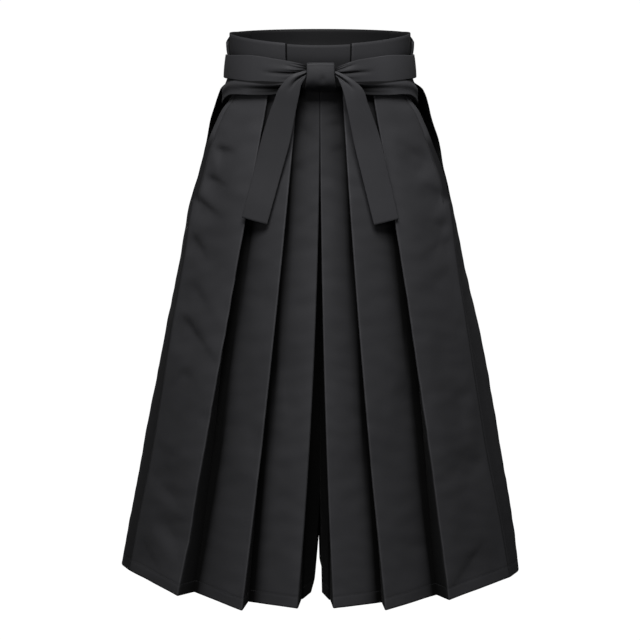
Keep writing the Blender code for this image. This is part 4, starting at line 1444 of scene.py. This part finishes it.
def tone_and_light_group():
    """The cloth's slow changes of tone, and light and shade painted into its colour: painted
    highlights on its pressed folds and where the light falls brighter, painted shade where other
    cloth would shadow it, and a darker inner face that is painted shade.
    """
    group, given, made = new_group(
        "Cloth wear",
        {
            "Place": ("NodeSocketVector", None),
            "Colour": ("NodeSocketColor", (0.03, 0.03, 0.033, 1.0)),
            "Tone": ("NodeSocketFloat", 1.0),
            "Pressed": ("NodeSocketFloat", 0.0),
            "Inside": ("NodeSocketFloat", 0.0),
            "Sheltered": ("NodeSocketFloat", 0.0),
            "Press shine": ("NodeSocketFloat", 0.65),
            "Deep colour": ("NodeSocketFloat", 0.985),
            "Wrong side": ("NodeSocketFloat", 0.7),
            "Roughness": ("NodeSocketFloat", 0.6),
        },
        {"Colour": "NodeSocketColor", "Roughness": "NodeSocketFloat"},
    )
    add, calculate = node_maker(group)
    slow = add("ShaderNodeTexNoise", {"Vector": given.outputs["Place"], "Scale": 9.0,
                                      "Detail": 3.0, "Roughness": 0.55})
    patch = calculate("MULTIPLY_ADD", slow.outputs["Fac"], 0.30, 0.85)
    tone = calculate("MULTIPLY", patch, given.outputs["Tone"])
    # painted highlight: the highlight mask brightens the colour
    lifted = calculate("MULTIPLY", given.outputs["Pressed"], given.outputs["Press shine"])
    tone = calculate("MULTIPLY", tone, calculate("ADD", lifted, 1.0))
    # painted shade: the inner face is darkened
    hidden = calculate("MULTIPLY", given.outputs["Inside"], given.outputs["Wrong side"])
    tone = calculate("MULTIPLY", tone, calculate("SUBTRACT", 1.0, hidden))
    # painted shade: the shade mask darkens the colour nearly to black
    shaded = calculate("MULTIPLY", given.outputs["Sheltered"], given.outputs["Deep colour"])
    tone = calculate("MULTIPLY", tone, calculate("SUBTRACT", 1.0, shaded))
    coloured = add("ShaderNodeVectorMath", {0: given.outputs["Colour"]}, operation="SCALE")
    group.links.new(tone, coloured.inputs["Scale"])
    group.links.new(coloured.outputs[0], made.inputs["Colour"])
    rough = calculate("MULTIPLY_ADD", slow.outputs["Fac"], 0.10, given.outputs["Roughness"])
    # the highlight mask also makes the cloth a little smoother, and the shade mask rougher
    pressed = calculate("MULTIPLY", given.outputs["Pressed"], 0.12)
    dull = calculate("MULTIPLY_ADD", given.outputs["Sheltered"], 0.42,
                     calculate("SUBTRACT", rough, pressed))
    group.links.new(dull, made.inputs["Roughness"])
    return group


def new_material(name):
    """A material, its node tree, its shader and both helpers that add nodes to it."""
    material = bpy.data.materials.new(name)
    material.use_nodes = True
    tree = material.node_tree
    return material, tree, tree.nodes["Principled BSDF"], *node_maker(tree)


def set_sockets(shader, values):
    for word, value in values.items():
        shader.inputs[word].default_value = value


def cloth_material(name, colour, roughness, sheen, wales, weave_depth, groups):
    twill, tone_and_light = groups
    material, tree, shader, add, _ = new_material(name)
    coordinate = add("ShaderNodeTexCoord")
    masks = {word: add("ShaderNodeAttribute", attribute_name=word.lower()).outputs["Fac"]
             for word in ("Pressed", "Inside", "Sheltered")}
    weave = add("ShaderNodeGroup", {"Cloth": coordinate.outputs["UV"], "Wales": wales},
                node_tree=twill)
    finish = add("ShaderNodeGroup", {"Colour": (*colour, 1.0), "Roughness": roughness,
                                     "Place": coordinate.outputs["Object"],
                                     "Tone": weave.outputs["Tone"], **masks}, node_tree=tone_and_light)
    bump = add("ShaderNodeBump", {"Strength": weave_depth, "Distance": 0.0003,
                                  "Height": weave.outputs["Height"]})
    tree.links.new(finish.outputs["Colour"], shader.inputs["Base Color"])
    tree.links.new(finish.outputs["Roughness"], shader.inputs["Roughness"])
    tree.links.new(bump.outputs["Normal"], shader.inputs["Normal"])
    set_sockets(shader, {"Metallic": 0.0, "Specular IOR Level": 0.08,
                         "Sheen Weight": sheen, "Sheen Roughness": 0.45})
    return material


def thread_material(colour):
    material, tree, shader, add, calculate = new_material("black_thread")
    coordinate = add("ShaderNodeTexCoord")
    fuzz = add("ShaderNodeTexNoise", {"Vector": coordinate.outputs["Object"],
                                      "Scale": 2600.0, "Detail": 2.0})
    tone = calculate("MULTIPLY_ADD", fuzz.outputs["Fac"], 0.6, 0.7)
    coloured = add("ShaderNodeVectorMath", {0: colour}, operation="SCALE")
    tree.links.new(tone, coloured.inputs["Scale"])
    tree.links.new(coloured.outputs[0], shader.inputs["Base Color"])
    set_sockets(shader, {"Roughness": 0.75, "Specular IOR Level": 0.15})
    return material


def studio_material(bounce):
    """A pale floor that gives little light back to the cloth above it."""
    material, tree, shader, add, _ = new_material("studio_floor")
    seen = add("ShaderNodeLightPath").outputs["Is Camera Ray"]
    set_sockets(shader, {"Base Color": (bounce, bounce, bounce, 1.0), "Roughness": 0.9,
                         "Specular IOR Level": 0.0, "Emission Color": (1.0, 1.0, 1.0, 1.0)})
    tree.links.new(seen, shader.inputs["Emission Strength"])
    return material


MATERIALS = {}


def finishes(settings):
    """The garment's materials, made once from the cloth's settings."""
    if not MATERIALS:
        groups = (twill_group(), tone_and_light_group())
        colour = tuple(settings.colour)
        band_colour = tuple(value * 0.80 for value in colour)
        for key, name, shade, roughness in (
                ("cloth", "black_twill", colour, settings.roughness),
                ("band", "black_twill_band", band_colour, settings.roughness - 0.03)):
            MATERIALS[key] = cloth_material(name, shade, roughness, settings.sheen,
                                            settings.wales, settings.weave_depth, groups)
        MATERIALS["thread"] = thread_material(tuple(value * 0.85 for value in colour))
    return MATERIALS


# ---- settings and operators ---------------------------------------------------------------

class HakamaClothSettings(bpy.types.PropertyGroup):
    """Sizes and finish of the cloth."""
    wall: bpy.props.FloatProperty(
        name="Cloth", description="Thickness of the panels' cloth",
        default=0.0011, min=0.0003, max=0.002, subtype="DISTANCE", unit="LENGTH")
    crease_depth: bpy.props.FloatProperty(
        name="Crease depth", description="Strength of the creases, where 1 is as worn",
        default=1.0, min=0.0, max=2.0, subtype="FACTOR")
    colour: bpy.props.FloatVectorProperty(
        name="Colour", description="Colour of the twill", size=3,
        default=(0.0265, 0.0265, 0.0286), min=0.0, max=1.0, subtype="COLOR")
    roughness: bpy.props.FloatProperty(
        name="Roughness", description="How matt the twill is",
        default=0.50, min=0.0, max=1.0, subtype="FACTOR")
    sheen: bpy.props.FloatProperty(
        name="Sheen", description="Soft shine at grazing angles",
        default=0.010, min=0.0, max=1.0, subtype="FACTOR")
    wales: bpy.props.FloatProperty(
        name="Wales", description="Diagonal ribs of the twill in a metre",
        default=900.0, min=100.0, max=3000.0)
    weave_depth: bpy.props.FloatProperty(
        name="Weave depth", description="Strength of the weave's relief",
        default=0.35, min=0.0, max=1.0, subtype="FACTOR")


class HakamaTieSettings(bpy.types.PropertyGroup):
    """Sizes of the waistband and the ties, which are folded double."""
    wall: bpy.props.FloatProperty(
        name="Band", description="Thickness of the waistband and the ties",
        default=0.0014, min=0.0005, max=0.002, subtype="DISTANCE", unit="LENGTH")


class HakamaStageSettings(bpy.types.PropertyGroup):
    """The floor, the light and the camera."""
    floor_z: bpy.props.FloatProperty(
        name="Floor", description="Height of the floor under the waist",
        default=-2.1, max=-0.9, subtype="DISTANCE", unit="LENGTH")
    sky: bpy.props.FloatProperty(
        name="Sky", description="Strength of the even light all round",
        default=0.09, min=0.0, max=5.0)
    key: bpy.props.FloatProperty(
        name="Key light", description="Power of the large soft light in front",
        default=88.0, min=0.0, max=2000.0, unit="POWER")
    fill: bpy.props.FloatProperty(
        name="Fill light", description="Power of the weaker light on the other side",
        default=12.0, min=0.0, max=2000.0, unit="POWER")
    rear: bpy.props.FloatProperty(
        name="Rear light", description="Power of the soft light behind",
        default=70.0, min=0.0, max=2000.0, unit="POWER")
    bounce: bpy.props.FloatProperty(
        name="Bounce", description="Share of the light that the floor gives back",
        default=0.15, min=0.0, max=1.0, subtype="FACTOR")


class HAKAMA_OT_fronts(bpy.types.Operator):
    """Both front panels, each with three pressed pleats"""
    bl_idname = "hakama.fronts"
    bl_label = "Fronts"

    def execute(self, context):
        settings = context.scene.hakama_cloth
        material = finishes(settings)["cloth"]
        for side, word in SIDES:
            heights, outer, from_edge = hang_panel(
                "front_" + word, side, front_line, FRONT_CREASES[side], material,
                settings.wall,
                depth_scale=settings.crease_depth, seed=1.0 + side, edge_hem=True)
            keep_row_seam(outer, heights, HEM_Z + HEM_DEPTH, side)
            keep_edge_seam(outer, heights, from_edge, EDGE_DEPTH, EDGE_SEAM_TOP_Z, OPENING_Z,
                           side)
        return {"FINISHED"}


class HAKAMA_OT_backs(bpy.types.Operator):
    """Both back panels, each with one deep pleat facing the centre"""
    bl_idname = "hakama.backs"
    bl_label = "Backs"

    def execute(self, context):
        settings = context.scene.hakama_cloth
        material = finishes(settings)["cloth"]
        for side, word in SIDES:
            heights, outer, _ = hang_panel(
                "back_" + word, side, back_line, BACK_CREASES[side], material,
                settings.wall, outward=-1.0,
                depth_scale=settings.crease_depth, seed=5.0 + side,
                tucked=PANEL_STEPS * 2 + ARC_STEPS + RETURN_STEPS + 1)
            keep_row_seam(outer, heights, HEM_Z + HEM_DEPTH, -side)
        return {"FINISHED"}


class HAKAMA_OT_inner_legs(bpy.types.Operator):
    """The inner legs, from the crotch to the hem"""
    bl_idname = "hakama.inner_legs"
    bl_label = "Inner legs"

    def execute(self, context):
        settings = context.scene.hakama_cloth
        material = finishes(settings)["cloth"]
        for side, word in SIDES:
            heights = panel_rows(CROTCH_Z)
            sheet, masks = panel_sheet(inner_leg_line, side, heights)
            piece, _ = make_wall("inner_leg_" + word, sheet, settings.wall, 1.0, side,
                                 turned_hem(sheet[:, :, 2]), masks)
            settle(piece, "cloth", material, "inner_leg_" + word)
        return {"FINISHED"}


class HAKAMA_OT_waistband(bpy.types.Operator):
    """The waistband: a middle piece, two side pieces lapped over it, and the back"""
    bl_idname = "hakama.waistband"
    bl_label = "Waistband"

    def execute(self, context):
        material = finishes(context.scene.hakama_cloth)["band"]
        make_waistband(context.scene.hakama_ties.wall, material)
        return {"FINISHED"}


class HAKAMA_OT_ties(bpy.types.Operator):
    """The two ties wrapped round the waist, gathered towards the knot"""
    bl_idname = "hakama.ties"
    bl_label = "Wrapped ties"

    def execute(self, context):
        material = finishes(context.scene.hakama_cloth)["band"]
        make_wrapped_ties(context.scene.hakama_ties.wall, material)
        return {"FINISHED"}


class HAKAMA_OT_knot(bpy.types.Operator):
    """The knot with its bunched inside, and the two free ends"""
    bl_idname = "hakama.knot"
    bl_label = "Knot and free ends"

    def execute(self, context):
        material = finishes(context.scene.hakama_cloth)["band"]
        wall = context.scene.hakama_ties.wall
        make_knot_core(material)
        make_knot(wall, material)
        make_tie_ends(wall, material)
        return {"FINISHED"}


class HAKAMA_OT_stitches(bpy.types.Operator):
    """Stitches at the hem and at the side openings"""
    bl_idname = "hakama.stitches"
    bl_label = "Stitches"

    def execute(self, context):
        if not SEAMS:
            raise RuntimeError("the fronts and backs come before their stitches")
        make_stitches(finishes(context.scene.hakama_cloth)["thread"])
        return {"FINISHED"}


def area_light(name, power):
    """One of the soft lights. The rear one makes no glare on the cloth."""
    place, aim, size = LIGHTS[name]
    data = bpy.data.lights.new(name, "AREA")
    data.shape = "RECTANGLE"
    data.size, data.size_y = size
    data.energy = power
    light = bpy.data.objects.new(name, data)
    light.location = place
    light.rotation_euler = (Vector(aim) - Vector(place)).to_track_quat("-Z", "Y").to_euler()
    bpy.context.scene.collection.objects.link(light)
    light.visible_glossy = name != "rear"


class HAKAMA_OT_stage(bpy.types.Operator):
    """A pale floor, soft studio light and the camera"""
    bl_idname = "hakama.stage"
    bl_label = "Stage"

    def execute(self, context):
        settings = context.scene.hakama_stage
        half = FLOOR_HALF
        corners = ((-half, -half), (half, -half), (half, half), (-half, half))
        mesh = bpy.data.meshes.new("floor")
        mesh.from_pydata([(x, y, settings.floor_z) for x, y in corners], [], [(0, 1, 2, 3)])
        mesh.materials.append(studio_material(settings.bounce))
        floor = bpy.data.objects.new("floor", mesh)
        context.scene.collection.objects.link(floor)
        world = bpy.data.worlds.new("studio")
        world.use_nodes = True
        background = world.node_tree.nodes["Background"]
        background.inputs["Color"].default_value = (1.0, 1.0, 1.0, 1.0)
        add, calculate = node_maker(world.node_tree)
        seen = add("ShaderNodeLightPath").outputs["Is Camera Ray"]
        strength = calculate("MULTIPLY_ADD", seen, 1.0 - settings.sky, settings.sky)
        world.node_tree.links.new(strength, background.inputs["Strength"])
        context.scene.world = world
        for name in LIGHTS:
            area_light(name, getattr(settings, name))
        context.scene.view_settings.view_transform = "Standard"
        data = bpy.data.cameras.new("camera")
        data.lens = CAMERA_LENS
        data.sensor_width = SENSOR_WIDTH
        camera = bpy.data.objects.new("camera", data)
        camera.location = CAMERA_PLACE
        camera.rotation_euler = (math.radians(90.0 - CAMERA_TILT), 0.0, 0.0)
        context.scene.collection.objects.link(camera)
        context.scene.camera = camera
        return {"FINISHED"}


class HAKAMA_PT_panel(bpy.types.Panel):
    """Builds the trousers piece by piece"""
    bl_idname = "HAKAMA_PT_panel"
    bl_label = "Hakama trousers"
    bl_space_type = "VIEW_3D"
    bl_region_type = "UI"
    bl_category = "Hakama"

    def draw(self, context):
        layout = self.layout
        for word in ("hakama_cloth", "hakama_ties", "hakama_stage"):
            settings = getattr(context.scene, word)
            box = layout.box()
            for name in settings.__annotations__:
                box.prop(settings, name)
        for operator in OPERATORS:
            layout.operator(operator.bl_idname)


SETTINGS = (
    ("hakama_cloth", HakamaClothSettings),
    ("hakama_ties", HakamaTieSettings),
    ("hakama_stage", HakamaStageSettings),
)
OPERATORS = (
    HAKAMA_OT_stage,
    HAKAMA_OT_fronts,
    HAKAMA_OT_backs,
    HAKAMA_OT_inner_legs,
    HAKAMA_OT_waistband,
    HAKAMA_OT_ties,
    HAKAMA_OT_knot,
    HAKAMA_OT_stitches,
)


def register():
    for word, group in SETTINGS:
        bpy.utils.register_class(group)
        setattr(bpy.types.Scene, word, bpy.props.PointerProperty(type=group))
    for operator in OPERATORS:
        bpy.utils.register_class(operator)
    bpy.utils.register_class(HAKAMA_PT_panel)


def unregister():
    bpy.utils.unregister_class(HAKAMA_PT_panel)
    for operator in reversed(OPERATORS):
        bpy.utils.unregister_class(operator)
    for word, group in reversed(SETTINGS):
        delattr(bpy.types.Scene, word)
        bpy.utils.unregister_class(group)


def main():
    register()
    for operator in OPERATORS:
        getattr(bpy.ops.hakama, operator.bl_idname.split(".")[1])()


if __name__ == "__main__":
    main()
